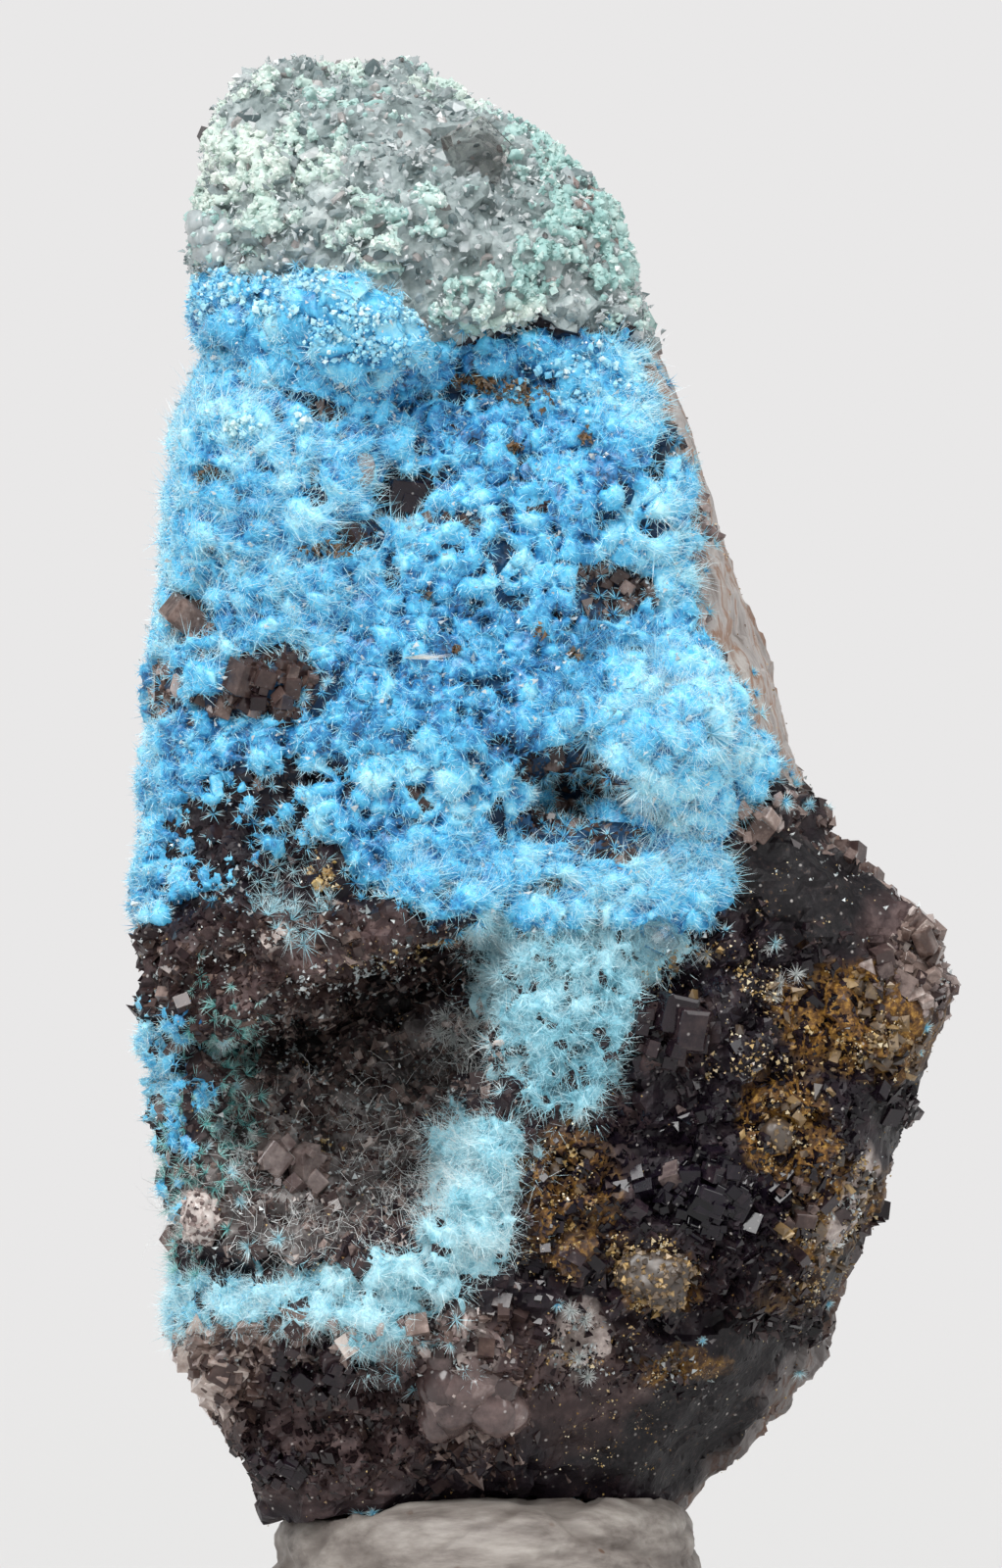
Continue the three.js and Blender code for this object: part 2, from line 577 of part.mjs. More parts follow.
// The coats: the grown rock inside an outline, thinning out towards the back and clear of the
// crystals
function coatSolid({ outline, height, back }) {
  const shape = new THREE.Shape(outline.map(([x, z]) => new THREE.Vector2(x, z)));
  const slab = new THREE.ExtrudeGeometry(shape, { depth: COAT_BACK - COAT_FRONT, bevelEnabled: false });
  slab.rotateX(Math.PI / 2);
  slab.translate(0, COAT_BACK, 0);
  const heightAt = (y, z) => {
    const edge = EDGE_WAVES.reduce((sum, { reach, rate }) => sum + reach * Math.sin(rate * z), back);
    const share = THREE.MathUtils.clamp((edge - y) / COAT_FADE, 0, 1);
    return THREE.MathUtils.lerp(-SEAT_GAP, height, share);
  };
  const cover = rock(height, heightAt, SEAT_GAP);
  let coat = solidOf(slab).intersect(cover).subtract(rockWithClearance);
  for (const crystal of placedCrystals) coat = coat.subtract(crystal);
  return soundBody(coat);
}

for (const coat of COATS) {
  addNode(coat.name, coatSolid(coat), COAT_LOOK[coat.name] ?? "needles");
}

// The putty pad, dented where the rock stands in it
function puttySolid() {
  const profile = PAD_PROFILE.map(([radius, z]) => new THREE.Vector2(radius, z));
  const pad = new THREE.LatheGeometry(profile, PAD_SIDES);
  pad.rotateX(Math.PI / 2);
  return soundBody(solidOf(pad).subtract(rockWithClearance));
}

addNode("mounting_putty", puttySolid(), "putty");

export default specimen;
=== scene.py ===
# %% [markdown]
# # A cyanotrichite specimen
# The object is an upright shard of dark fluorite and quartz rock, 45 mm tall. Its front carries a
# coat of blue needles, a cap of pale green crust, and a hollow lined with crystals and fine hairs.
# It stands in a pad of mounting putty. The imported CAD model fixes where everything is. This lesson
# keeps its rock as the base shape, and grows the crystals, grains and needles on it.

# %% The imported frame
import itertools
import math

import bmesh
import bpy
import numpy as np
from mathutils import Euler, Matrix, Vector
from mathutils.bvhtree import BVHTree
from mathutils.kdtree import KDTree


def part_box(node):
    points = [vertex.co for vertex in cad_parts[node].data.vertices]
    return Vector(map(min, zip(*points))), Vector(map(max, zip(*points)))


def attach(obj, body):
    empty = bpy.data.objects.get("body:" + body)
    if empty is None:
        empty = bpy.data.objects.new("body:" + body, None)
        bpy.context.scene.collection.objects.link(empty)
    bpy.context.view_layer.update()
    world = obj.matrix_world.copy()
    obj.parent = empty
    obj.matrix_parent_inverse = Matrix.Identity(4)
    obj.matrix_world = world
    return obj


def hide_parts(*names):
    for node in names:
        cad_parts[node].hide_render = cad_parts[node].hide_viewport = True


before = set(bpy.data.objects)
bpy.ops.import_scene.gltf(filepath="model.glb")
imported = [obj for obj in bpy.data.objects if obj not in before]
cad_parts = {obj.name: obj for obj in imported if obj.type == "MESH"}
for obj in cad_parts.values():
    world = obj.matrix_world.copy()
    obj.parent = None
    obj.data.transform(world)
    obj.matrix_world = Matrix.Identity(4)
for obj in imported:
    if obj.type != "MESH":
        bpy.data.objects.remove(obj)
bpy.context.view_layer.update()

MM = 0.001

# %% [markdown]
# ## Places on the front
# The needles and crystals sit where the photograph shows them, so places on the front are given
# in the photograph's pixels. One pixel is 0.03 mm on the specimen. Pixels right and down
# from the picture's corner turn into X and Z here, and the rock's surface gives the depth.

# %% From a pixel to a place
PIXEL = 0.03 * MM
PIXEL_AT_ORIGIN = 495.0
HEIGHT_AT_TOP_EDGE = 52.5 * MM
PHOTO_SIZE = (1022, 1600)


def pixels_of(points):
    """Photograph pixels of points in metres, as an (n, 2) array."""
    return np.stack(
        [PIXEL_AT_ORIGIN + points[:, 0] / PIXEL, (HEIGHT_AT_TOP_EDGE - points[:, 2]) / PIXEL], axis=1
    )


def place_of(pixel_x, pixel_y):
    """X and Z in metres of a pixel."""
    return (pixel_x - PIXEL_AT_ORIGIN) * PIXEL, HEIGHT_AT_TOP_EDGE - pixel_y * PIXEL


print("the photograph covers", round(PHOTO_SIZE[0] * PIXEL / MM, 1), "by", PHOTO_SIZE[1] * PIXEL / MM, "mm")

# %% [markdown]
# ## Noise
# Rock, crust and coat all need patches and lumps of a stated size. A lattice of random values,
# blended smoothly between its corners, gives lumps as wide as the lattice step. Making it in
# numpy treats a hundred thousand points at once, and a seed makes it repeatable.

# %% Smooth noise on arrays of points


def lumps(points, width, seed):
    """Noise from -1 to 1 at points (n, 3), in lumps about as wide as width."""
    spot = points / width + 31.7 * seed
    cell = np.floor(spot).astype(np.int64)
    part = spot - cell
    part = part * part * (3 - 2 * part)
    total = np.zeros(len(points))
    for corner in itertools.product((0, 1), repeat=3):
        key = cell + corner
        mix = key[:, 0] * 73856093 ^ key[:, 1] * 19349663 ^ key[:, 2] * 83492791
        mix = (mix ^ (mix >> 13)) * 1274126177 & 0x7FFFFFFF
        mix = (mix ^ (mix >> 16)) & 0xFFFF
        weight = np.prod(np.where(corner, part, 1 - part), axis=1)
        total += weight * (mix / 32767.5 - 1)
    return total


def smooth_step(low, high, value):
    share = np.clip((value - low) / (high - low), 0, 1)
    return share * share * (3 - 2 * share)


sample = lumps(np.random.default_rng(1).random((1000, 3)) * 0.05, 1 * MM, 3)
print("noise runs from", round(sample.min(), 2), "to", round(sample.max(), 2))

# %% [markdown]
# ## Regions
# A region is an outline in pixels with a soft, ragged edge, or a list of oval patches. Both
# are read at any point of the rock as a number from 0 to 1. The edge is made ragged by moving
# the points with noise before they are read, since nothing on a rock ends in a clean line.

# %% Outlines and patches


def ragged(points, reach=9.0, width=0.9 * MM, seed=5):
    """Pixels of the points, each moved a little so that outlines come out ragged."""
    moved = pixels_of(points)
    for axis in (0, 1):
        moved[:, axis] += reach * lumps(points, width, seed + axis)
        moved[:, axis] += 0.7 * reach * lumps(points, 0.4 * width, seed + axis + 2)
    return moved


def inside(pixels, outline, soft=10.0):
    """1 within the outline and 0 outside it, over an edge soft pixels wide."""
    corners = np.array(outline, float)
    nearest = np.full(len(pixels), 1e9)
    within = np.zeros(len(pixels), bool)
    for start, end in zip(corners, np.roll(corners, -1, axis=0)):
        along = end - start
        share = np.clip(((pixels - start) @ along) / max(along @ along, 1e-9), 0, 1)
        nearest = np.minimum(nearest, np.linalg.norm(pixels - start - share[:, None] * along, axis=1))
        crosses = (start[1] > pixels[:, 1]) != (end[1] > pixels[:, 1])
        rise = np.where(along[1] == 0, 1e-9, along[1])
        at = start[0] + (pixels[:, 1] - start[1]) * along[0] / rise
        within ^= crosses & (pixels[:, 0] < at)
    return smooth_step(-soft / 2, soft / 2, np.where(within, nearest, -nearest))


def patches(pixels, ovals, soft=0.45):
    """The strongest of some ovals (x, y, half width, half height, tilt, strength)."""
    strongest = np.zeros(len(pixels))
    for x, y, half_width, half_height, tilt, strength in ovals:
        cos, sin = math.cos(math.radians(tilt)), math.sin(math.radians(tilt))
        dx, dy = pixels[:, 0] - x, pixels[:, 1] - y
        away = np.hypot((dx * cos - dy * sin) / half_width, (dx * sin + dy * cos) / half_height)
        strongest = np.maximum(strongest, strength * smooth_step(1 + soft / 2, 1 - soft / 2, away))
    return strongest


CAP_OUTLINE = [(120, 300), (120, 200), (190, 110), (230, 40), (300, 20), (440, 30), (520, 75),
               (590, 135), (670, 200), (720, 300), (700, 350), (640, 336), (560, 330), (500, 340),
               (430, 348), (395, 312), (335, 292), (290, 284), (235, 290), (200, 284)]
BLUE_OUTLINE = [(110, 284), (240, 286), (290, 279), (340, 286), (400, 308), (430, 350), (500, 348),
                (560, 340), (645, 340), (652, 380), (676, 440), (698, 500), (706, 560), (700, 620),
                (722, 665), (764, 735), (790, 785), (770, 806), (742, 830), (735, 870), (738, 925),
                (715, 950), (660, 948), (600, 935), (545, 945), (500, 925), (450, 936), (400, 915),
                (350, 872), (300, 862), (262, 885), (232, 908), (200, 915), (165, 940), (100, 940)]
AQUA_OUTLINES = {
    "upper": [(470, 925), (520, 930), (600, 930), (650, 940), (700, 962), (690, 990), (652, 1005),
              (642, 1050), (622, 1110), (592, 1145), (552, 1138), (518, 1092), (500, 1040), (492, 985)],
    "band": [(150, 1296), (250, 1306), (335, 1292), (410, 1276), (447, 1230), (436, 1160), (470, 1135),
             (532, 1146), (540, 1200), (522, 1275), (470, 1318), (415, 1338), (392, 1392), (372, 1402),
             (350, 1352), (255, 1350), (150, 1372)],
    "wisps": [(258, 860), (335, 870), (345, 930), (300, 965), (262, 930)],
}
SLAB_OUTLINE = [(652, 320), (700, 300), (750, 430), (790, 530), (820, 625), (850, 725), (870, 800),
                (845, 822), (796, 795), (768, 735), (726, 665), (704, 620), (712, 560), (704, 500),
                (682, 440), (655, 380), (640, 340)]
EDGE_OUTLINE = [(100, 1010), (165, 1030), (205, 1050), (225, 1120), (205, 1200), (196, 1300), (100, 1300)]
BARE_IN_BLUE = [
    (411, 508, 33, 30, 0, 1.0), (365, 548, 26, 20, 20, 0.85), (468, 534, 26, 14, -10, 0.8),
    (550, 519, 26, 14, 0, 0.6), (616, 532, 20, 12, 0, 0.6), (622, 602, 42, 30, -8, 1.0),
    (664, 493, 14, 10, 0, 0.6), (226, 486, 22, 9, -8, 0.8), (195, 632, 24, 26, 0, 1.0),
    (284, 688, 38, 30, 10, 0.9), (236, 712, 46, 14, 12, 0.75), (166, 704, 20, 38, 0, 0.9),
    (590, 792, 58, 31, -14, 1.0), (560, 838, 48, 22, 0, 0.9), (618, 857, 44, 20, 0, 1.0),
    (436, 812, 22, 12, 0, 0.6), (278, 800, 18, 10, 0, 0.7), (338, 420, 18, 13, 0, 0.8),
    (305, 716, 34, 12, 20, 0.7), (560, 905, 30, 10, 0, 0.6), (430, 610, 10, 8, 0, 0.7),
    (600, 640, 40, 8, 0, 0.5), (490, 385, 26, 12, -5, 0.6), (470, 440, 14, 8, 0, 0.5),
]
SPARSE_IN_BLUE = [(235, 850, 105, 62, 0, 1.0), (300, 800, 60, 30, 0, 0.7), (190, 900, 60, 50, 0, 0.9)]
# Deep azure patches of the coat. The first two ovals lie in the hollow under the shoulder and are painted
# shade.
DEEP_BLUE_AND_SHADE = [
    (520, 372, 110, 26, 0, 1.0), (400, 372, 60, 26, 0, 0.8), (530, 455, 100, 50, -10, 0.8),
    (620, 420, 60, 50, 0, 0.35), (420, 620, 90, 34, 0, 0.6), (560, 660, 100, 50, 0, 0.85),
    (520, 740, 90, 40, 0, 0.9), (330, 748, 120, 30, -8, 0.8), (235, 335, 60, 40, 0, 0.55),
    (200, 850, 80, 80, 0, 0.6), (440, 872, 90, 40, 0, 0.5), (480, 690, 80, 40, 0, 0.6),
    (640, 470, 60, 30, 0, 0.6), (420, 690, 60, 30, 0, 0.5), (390, 460, 60, 16, 0, 0.7),
    (650, 656, 50, 22, 0, 1.0),
]
# Pale patches of the coat. The first oval, on the shoulder's lumps, is partly painted light.
PALE_BLUE_AND_LIT = [
    (350, 332, 92, 40, -14, 1.0), (215, 430, 60, 60, 0, 0.9), (300, 452, 80, 30, 0, 0.8),
    (300, 520, 110, 50, 0, 0.85), (290, 600, 100, 36, 0, 0.7), (600, 385, 60, 26, 0, 0.8),
    (650, 400, 30, 50, 0, 0.7), (680, 560, 44, 70, 0, 0.7), (700, 750, 90, 90, 0, 0.8),
    (380, 790, 70, 40, 0, 0.5), (600, 740, 60, 40, 0, 0.6), (410, 460, 30, 20, 0, 0.9),
    (160, 600, 30, 60, 0, 0.7), (150, 800, 24, 120, 0, 0.6), (470, 810, 60, 30, 0, 0.6),
    (610, 905, 130, 40, 0, 0.8), (545, 500, 50, 24, 0, 0.5), (260, 660, 60, 26, 0, 0.9),
]
print("patches in the blue coat:", len(BARE_IN_BLUE), "bare", len(DEEP_BLUE_AND_SHADE), "deep", len(PALE_BLUE_AND_LIT), "pale")

# %% [markdown]
# ## The rock
# On the real specimen the rock broke out of a vein, so it has flat broken faces at the back and
# crystal-lined relief in front. The CAD rock has that shape in large triangles. A copy of it is
# merged, remeshed into even small faces, and pushed in and out: broad lumps first, then
# tilted facets as wide as the crystals, then fine grit. Real geometry was chosen over bump,
# because the outline of such a rock is as rough as its face.

# %% A fine copy of the CAD rock
ROCK_FACE, PUTTY_FACE = 0.205 * MM, 0.2 * MM
SAME_PLACE = 0.002 * MM


def placed(name, data):
    """A new object in the scene with this mesh, camera or lamp."""
    piece = bpy.data.objects.new(name, data)
    bpy.context.scene.collection.objects.link(piece)
    return piece


def mesh_of(bm, name):
    """Writes a bmesh into a new mesh and frees it."""
    mesh = bpy.data.meshes.new(name)
    bm.to_mesh(mesh)
    bm.free()
    return mesh


def remeshed_copy(node, name, face):
    """The merged mesh of a CAD node, remeshed into even faces of one size and applied."""
    bm = bmesh.new()
    bm.from_mesh(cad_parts[node].data)
    bmesh.ops.remove_doubles(bm, verts=bm.verts, dist=SAME_PLACE)
    bmesh.ops.triangulate(bm, faces=bm.faces)
    piece = placed(name, mesh_of(bm, name))
    remesh = piece.modifiers.new("even faces", "REMESH")
    remesh.mode = "VOXEL"
    remesh.voxel_size = face
    bpy.context.view_layer.update()
    shaped = bpy.data.meshes.new_from_object(piece.evaluated_get(bpy.context.evaluated_depsgraph_get()))
    coarse = piece.data
    piece.modifiers.clear()
    piece.data = shaped
    shaped.name = name
    bpy.data.meshes.remove(coarse)
    return piece


rock = remeshed_copy("matrix", "rock", ROCK_FACE)
print("the rock has", len(rock.data.polygons), "faces")

# %% Reading and writing vertices as arrays


def read_points(mesh):
    flat = np.empty(len(mesh.vertices) * 3)
    mesh.vertices.foreach_get("co", flat)
    return flat.reshape(-1, 3)


def read_normals(mesh):
    flat = np.empty(len(mesh.vertices) * 3)
    mesh.vertex_normals.foreach_get("vector", flat)
    return flat.reshape(-1, 3)


def write_points(mesh, points):
    mesh.vertices.foreach_set("co", points.ravel())
    mesh.update()


def write_attribute(mesh, name, values):
    attribute = mesh.attributes.new(name, "FLOAT", "POINT")
    attribute.data.foreach_set("value", np.asarray(values, np.float32))


rock_points = read_points(rock.data)
print("rock spans", np.round((rock_points.max(0) - rock_points.min(0)) / MM, 1), "mm")

# %% [markdown]
# The CAD rock's large triangles cut its corners off, so its outline falls short of the
# photograph's by a few tenths of a millimetre. The top is drawn up, and each height is shifted at
# its left and right by what the two outlines differ, with everything between them in proportion.

# %% Meeting the photograph's outline
TOP_FROM, TOP_TO, TOP_RISE = 46.9 * MM, 49.9 * MM, 0.6 * MM
# (y, shift at the left, shift at the right) in pixels
OUTLINE_SHIFTS = [
    (75, -9, -6), (100, -12, 0), (125, -13, 18), (150, -11, 20), (200, -12, 17), (250, -2, 5), (300, 8, 9),
    (350, 2, -3), (400, 4, 0), (450, -3, 6), (500, -2, 4), (550, -3, 2), (600, 2, 12), (650, -4, 26),
    (700, -14, 20), (750, -3, 16), (800, -4, 0), (850, -9, -6), (900, -10, -8), (950, -13, -6),
    (1000, -4, -2), (1050, -8, 2), (1100, -2, -2), (1150, -11, -4), (1200, -6, 6), (1250, 2, 0),
    (1300, 6, 4), (1350, 4, 4), (1400, 20, 12), (1450, 10, 12), (1500, 6, 7), (1545, 0, 0),
]
rock_points[:, 2] += TOP_RISE * smooth_step(TOP_FROM, TOP_TO, rock_points[:, 2])
rows = pixels_of(rock_points)[:, 1]
levels = np.array(OUTLINE_SHIFTS, float)
ends = np.array([
    (near.min(), near.max()) for near in (rock_points[abs(rows - level) < 12, 0] for level in levels[:, 0])])


def outline_shift(points):
    """How far points move in X for the outline to meet the photograph's."""
    rows = pixels_of(points)[:, 1]
    left, right = (np.interp(rows, levels[:, 0], ends[:, side]) for side in (0, 1))
    across = np.clip((points[:, 0] - left) / (right - left), 0, 1)
    shift_left, shift_right = (np.interp(rows, levels[:, 0], levels[:, side]) for side in (1, 2))
    return (shift_left * (1 - across) + shift_right * across) * PIXEL


rock_points[:, 0] += outline_shift(rock_points)
write_points(rock.data, rock_points)
print("the outline moves by up to", round(abs(levels[:, 1:]).max() * PIXEL / MM, 2), "mm")

# %% [markdown]
# Crystals seen on a broken or grown face make small flat facets that tilt every way and meet in
# steps. To make them, seeds are strewn over the rock, each with a plane tilted at random, and every
# vertex moves onto the plane of its nearest seed. Bevel or displacement textures give rounder,
# softer lumps than fluorite has.

# %% Facets


def nearest_of(spots, points):
    """For each point, the index of the nearest spot and how far off it is."""
    tree = KDTree(len(spots))
    for i, spot in enumerate(spots):
        tree.insert(spot, i)
    tree.balance()
    found = [tree.find(point) for point in points]
    return np.array([index for _, index, _ in found]), np.array([away for _, _, away in found])


def seeds_near(points, spacing, draw):
    """One seed at random in every cube of the lattice that the points touch."""
    cells = np.unique(np.floor(points / spacing).astype(int), axis=0)
    return (cells + draw.random(cells.shape)) * spacing


def facet_offsets(points, normals, spacing, tilt, seed, most):
    """How far each point moves along its normal to lie on its nearest seed's tilted plane."""
    draw = np.random.default_rng(seed)
    seeds = seeds_near(points, spacing, draw)
    nearest, _ = nearest_of(seeds, points)
    foot, _ = nearest_of(points, seeds)
    leaning = normals[foot] + tilt * (draw.random(seeds.shape) - 0.5) * 2
    leaning /= np.linalg.norm(leaning, axis=1)[:, None]
    step = most * 0.6 * (draw.random(len(seeds)) - 0.5)
    away = points - points[foot][nearest]
    fall = (away * leaning[nearest]).sum(1)
    slope = np.maximum((normals * leaning[nearest]).sum(1), 0.4)
    return np.clip(-fall / slope + step[nearest], -most, most)


def front_share(points, edge=1.0 * MM, fade=2.0 * MM):
    """1 on the front of the rock, 0 behind an uneven line along its sides."""
    height = points[:, 2] / MM
    line = edge + MM * (0.8 * np.sin(1.1 * height) + 0.5 * np.sin(2.3 * height))
    return np.clip((line - points[:, 1]) / fade, 0, 1)


def slab_at(points, pixels, soft):
    """The pale side face. Its lower edge is more ragged the further it goes round the back."""
    moved = pixels.copy()
    moved[:, 1] += 160 * lumps(points, 3.0 * MM, 15) * smooth_step(-0.5 * MM, 3 * MM, points[:, 1])
    return inside(moved, SLAB_OUTLINE, soft)


rock_normals = read_normals(rock.data)
rough_pixels = ragged(rock_points)
rock_front = front_share(rock_points)
cap_share = inside(rough_pixels, CAP_OUTLINE) * front_share(rock_points, 2.6 * MM)
blue_share = inside(rough_pixels, BLUE_OUTLINE) * rock_front
SMOOTH_FACES = [(835, 905, 95, 42, -24, 1.0), (650, 1472, 130, 62, -8, 1.0), (770, 1415, 90, 50, -34, 1.0),
                (410, 508, 34, 30, 0, 1.0), (944, 1070, 30, 62, 16, 1.0), (908, 1180, 26, 80, 22, 1.0),
                (862, 1310, 30, 80, 18, 1.0), (800, 1450, 40, 80, 34, 1.0)]
smooth_share = patches(rough_pixels, SMOOTH_FACES) * rock_front
LEDGE_OUTLINE = [(150, 935), (240, 928), (330, 925), (440, 905), (500, 925), (470, 955), (400, 978),
                 (352, 1002), (335, 1040), (270, 1052), (200, 1058), (150, 1045)]
HOLLOW_OUTLINE = [(196, 1060), (330, 1042), (345, 1000), (402, 980), (472, 956), (514, 938), (520, 985),
                  (492, 1016), (440, 1026), (400, 1056), (360, 1062), (320, 1092), (220, 1094)]
SPRAY_HOLLOW = [(595, 815, 56, 24, -10, 0.7)]
wild = (1 - 0.75 * blue_share - 0.5 * cap_share) * (1 - 0.85 * smooth_share)
wild *= (0.45 + 0.55 * rock_front) * (1 - 0.8 * slab_at(rock_points, rough_pixels, 30))
push = 0.22 * MM * lumps(rock_points, 2.4 * MM, 11) + 0.12 * MM * lumps(rock_points, 1.0 * MM, 12)
push += wild * facet_offsets(rock_points, rock_normals, 1.15 * MM, 0.75, 21, 0.34 * MM)
push += wild * 0.7 * facet_offsets(rock_points, rock_normals, 0.55 * MM, 0.8, 22, 0.16 * MM)
push += 0.09 * MM * (0.35 + blue_share + cap_share) * lumps(rock_points, 0.42 * MM, 13)
push += smooth_step(0.45, 0.85, rock_normals[:, 1]) * facet_offsets(
    rock_points, rock_normals, 4.2 * MM, 0.4, 23, 0.7 * MM)
push *= smooth_step(6.0 * MM, 8.0 * MM, rock_points[:, 2]) * 0.7 + 0.3
rock_points = rock_points + push[:, None] * rock_normals
heights = rock_points[:, 2]
round_the_side = smooth_step(1.5 * MM, 4 * MM, rock_points[:, 1]) * smooth_step(46 * MM, 41 * MM, heights)
rock_points[:, 2] += (1.3 * MM * lumps(rock_points, 3.6 * MM, 18) * round_the_side
                      * smooth_step(8 * MM, 14 * MM, heights))
slab_share = slab_at(rock_points, rough_pixels, 14) * smooth_step(6 * MM, 0, rock_points[:, 1])
hollow_share = np.maximum(inside(rough_pixels, HOLLOW_OUTLINE, 16), patches(rough_pixels, SPRAY_HOLLOW, 0.6))
hollow_share *= rock_front
ledge_share = inside(rough_pixels, LEDGE_OUTLINE, 14) * rock_front
rock_points[:, 1] += (1.4 * slab_share + 2.6 * hollow_share - 0.9 * ledge_share) * MM
write_points(rock.data, rock_points)
rock.data.shade_flat()
print("the facets move the surface by up to", round(abs(push).max() / MM, 2), "mm")

# %% [markdown]
# What shows through between the coats changes over the rock: brown and drusy on the ledge,
# purple-black on the right, ochre where iron has stained it, grey-green under the cap's crust,
# and banded with ochre and rust round the back. The hollows are painted nearly black: painted
# shade. Each is a region, kept as an attribute on the vertices, so that the rock's material can
# mix them with finer noise.

# %% Regions of the bare rock
BROWN_ROCK = [(310, 985, 160, 62, 0, 1.0), (835, 850, 90, 20, -24, 0.4), (600, 1190, 60, 110, 0, 0.5),
              (300, 1440, 170, 110, 0, 0.75), (560, 1400, 110, 70, 0, 0.7), (200, 690, 80, 60, 0, 0.9),
              (410, 510, 60, 40, 0, 0.35), (620, 600, 60, 40, 0, 0.5), (300, 1160, 110, 110, 0, 0.55),
              (680, 1050, 50, 40, 0, 0.8), (560, 1450, 90, 50, 0, 0.5), (930, 960, 60, 70, 0, 0.6)]
OCHRE_ROCK = [(870, 1040, 90, 60, -20, 0.9), (800, 1150, 50, 60, 0, 0.8), (850, 1240, 50, 70, -20, 0.6),
              (665, 1306, 46, 34, 0, 0.9), (580, 1230, 60, 90, 0, 0.55), (690, 1395, 60, 24, 0, 0.6),
              (490, 388, 26, 10, 0, 0.7), (800, 1320, 60, 30, -20, 0.4), (530, 390, 30, 10, -15, 0.3)]
PALE_ROCK = [(870, 1225, 16, 60, -25, 0.8), (470, 1400, 34, 80, 0, 0.5), (590, 1365, 34, 50, 0, 0.6),
             (195, 1455, 60, 90, -20, 0.35), (955, 960, 26, 30, 0, 0.8), (285, 957, 18, 12, 0, 1.0),
             (205, 1238, 28, 24, 0, 0.9), (300, 1375, 130, 30, 0, 0.35)]
write_attribute(rock.data, "cap", cap_share)
write_attribute(rock.data, "blue", blue_share * (1 - patches(rough_pixels, SPARSE_IN_BLUE, 0.8)))
write_attribute(rock.data, "brown", patches(rough_pixels, BROWN_ROCK, 0.9) * rock_front)
FLOOR_ROCK = [(350, 1120, 120, 110, 0, 0.9), (300, 1200, 90, 80, 0, 1.0)]
CHARCOAL_ROCK = [(690, 1460, 170, 74, -14, 1.0), (800, 1380, 80, 60, -34, 1.0), (880, 1290, 40, 90, 20, 0.9),
                 (925, 1130, 36, 110, 20, 0.9), (825, 905, 110, 52, -24, 1.0)]
write_attribute(rock.data, "floor", patches(rough_pixels, FLOOR_ROCK, 0.9) * rock_front)
write_attribute(rock.data, "charcoal", patches(rough_pixels, CHARCOAL_ROCK, 0.9) * rock_front)
write_attribute(rock.data, "ochre", patches(rough_pixels, OCHRE_ROCK, 0.9) * rock_front)
write_attribute(rock.data, "pale", patches(rough_pixels, PALE_ROCK, 0.7) * rock_front)
round_back = 1 - front_share(rock_points, 0.2 * MM, 1.2 * MM)
round_back *= np.clip(0.42 + 0.3 * smooth_step(18 * MM, 30 * MM, rock_points[:, 2])
                      + 0.4 * lumps(rock_points, 5 * MM, 16) + 0.2 * lumps(rock_points, 1.8 * MM, 17), 0.1, 1)
write_attribute(rock.data, "back", np.maximum(slab_share, round_back))
# The hollow attribute carries painted shade: it turns the rock nearly black in the hollows.
write_attribute(rock.data, "hollow", hollow_share)
write_attribute(rock.data, "worn", smooth_share)
print("rock regions:", [a.name for a in rock.data.attributes if a.data_type == "FLOAT"])

# %% [markdown]
# ## Materials
# Colours are written as sRGB hex, as a picture editor shows them, and turned to the linear values
# that the renderer uses. Each material is built from a Principled shader. One helper adds a
# node, sets its sockets, and links what comes in.

# %% Colour and node helpers


def linear(colour):
    """Linear RGBA of an sRGB hex colour."""
    channels = [int(colour[i : i + 2], 16) / 255 for i in (1, 3, 5)]
    return (*(c / 12.92 if c <= 0.04045 else ((c + 0.055) / 1.055) ** 2.4 for c in channels), 1.0)


def add_node(tree, kind, inputs=None, **settings):
    """Adds a node. An input is a value, a hex colour, or an output socket to link from."""
    node = tree.nodes.new(kind)
    for name, value in settings.items():
        setattr(node, name, value)
    for name, value in (inputs or {}).items():
        socket = node.inputs[name]
        if isinstance(value, bpy.types.NodeSocket):
            tree.links.new(value, socket)
        elif isinstance(value, str):
            socket.default_value = linear(value)
        else:
            socket.default_value = value
    return node


def new_material(name):
    """A material with an empty tree but for its output, and that tree."""
    material = bpy.data.materials.new(name)
    material.use_nodes = True
    tree = material.node_tree
    tree.nodes.clear()
    tree.nodes.new("ShaderNodeOutputMaterial")
    return material, tree


def principled(tree, inputs):
    """A Principled shader with these inputs, joined to the material's output."""
    shader = add_node(tree, "ShaderNodeBsdfPrincipled", inputs)
    tree.links.new(shader.outputs["BSDF"], tree.nodes["Material Output"].inputs["Surface"])


def ramp(tree, value, stops, interpolation="LINEAR"):
    """A colour ramp of (position, hex) stops over a socket."""
    node = add_node(tree, "ShaderNodeValToRGB", {"Fac": value})
    node.color_ramp.interpolation = interpolation
    for _ in stops[2:]:
        node.color_ramp.elements.new(0.5)
    for element, (position, colour) in zip(node.color_ramp.elements, stops):
        element.position = position
        element.color = linear(colour)
    return node.outputs["Color"]


def attribute(tree, name):
    return add_node(tree, "ShaderNodeAttribute", attribute_name=name).outputs["Fac"]


def place_in(tree):
    return add_node(tree, "ShaderNodeTexCoord").outputs["Object"]


def noise(tree, scale, detail, roughness=0.5, turn=None, stretch=None):
    """Noise on Object coordinates, scale being repeats to the millimetre. It can be turned and stretched."""
    where = place_in(tree)
    if turn:
        where = add_node(tree, "ShaderNodeMapping", {"Vector": where, "Rotation": turn, "Scale": stretch})
        where = where.outputs["Vector"]
    return add_node(tree, "ShaderNodeTexNoise", {
        "Vector": where, "Scale": scale / MM, "Detail": detail, "Roughness": roughness}).outputs["Fac"]


def mapped(tree, value, low, high, top=1.0, bottom=0.0):
    """Brings a value from low..high to bottom..top, and holds it there outside."""
    return add_node(tree, "ShaderNodeMapRange", {
        "Value": value, "From Min": low, "From Max": high, "To Min": bottom, "To Max": top}).outputs["Result"]


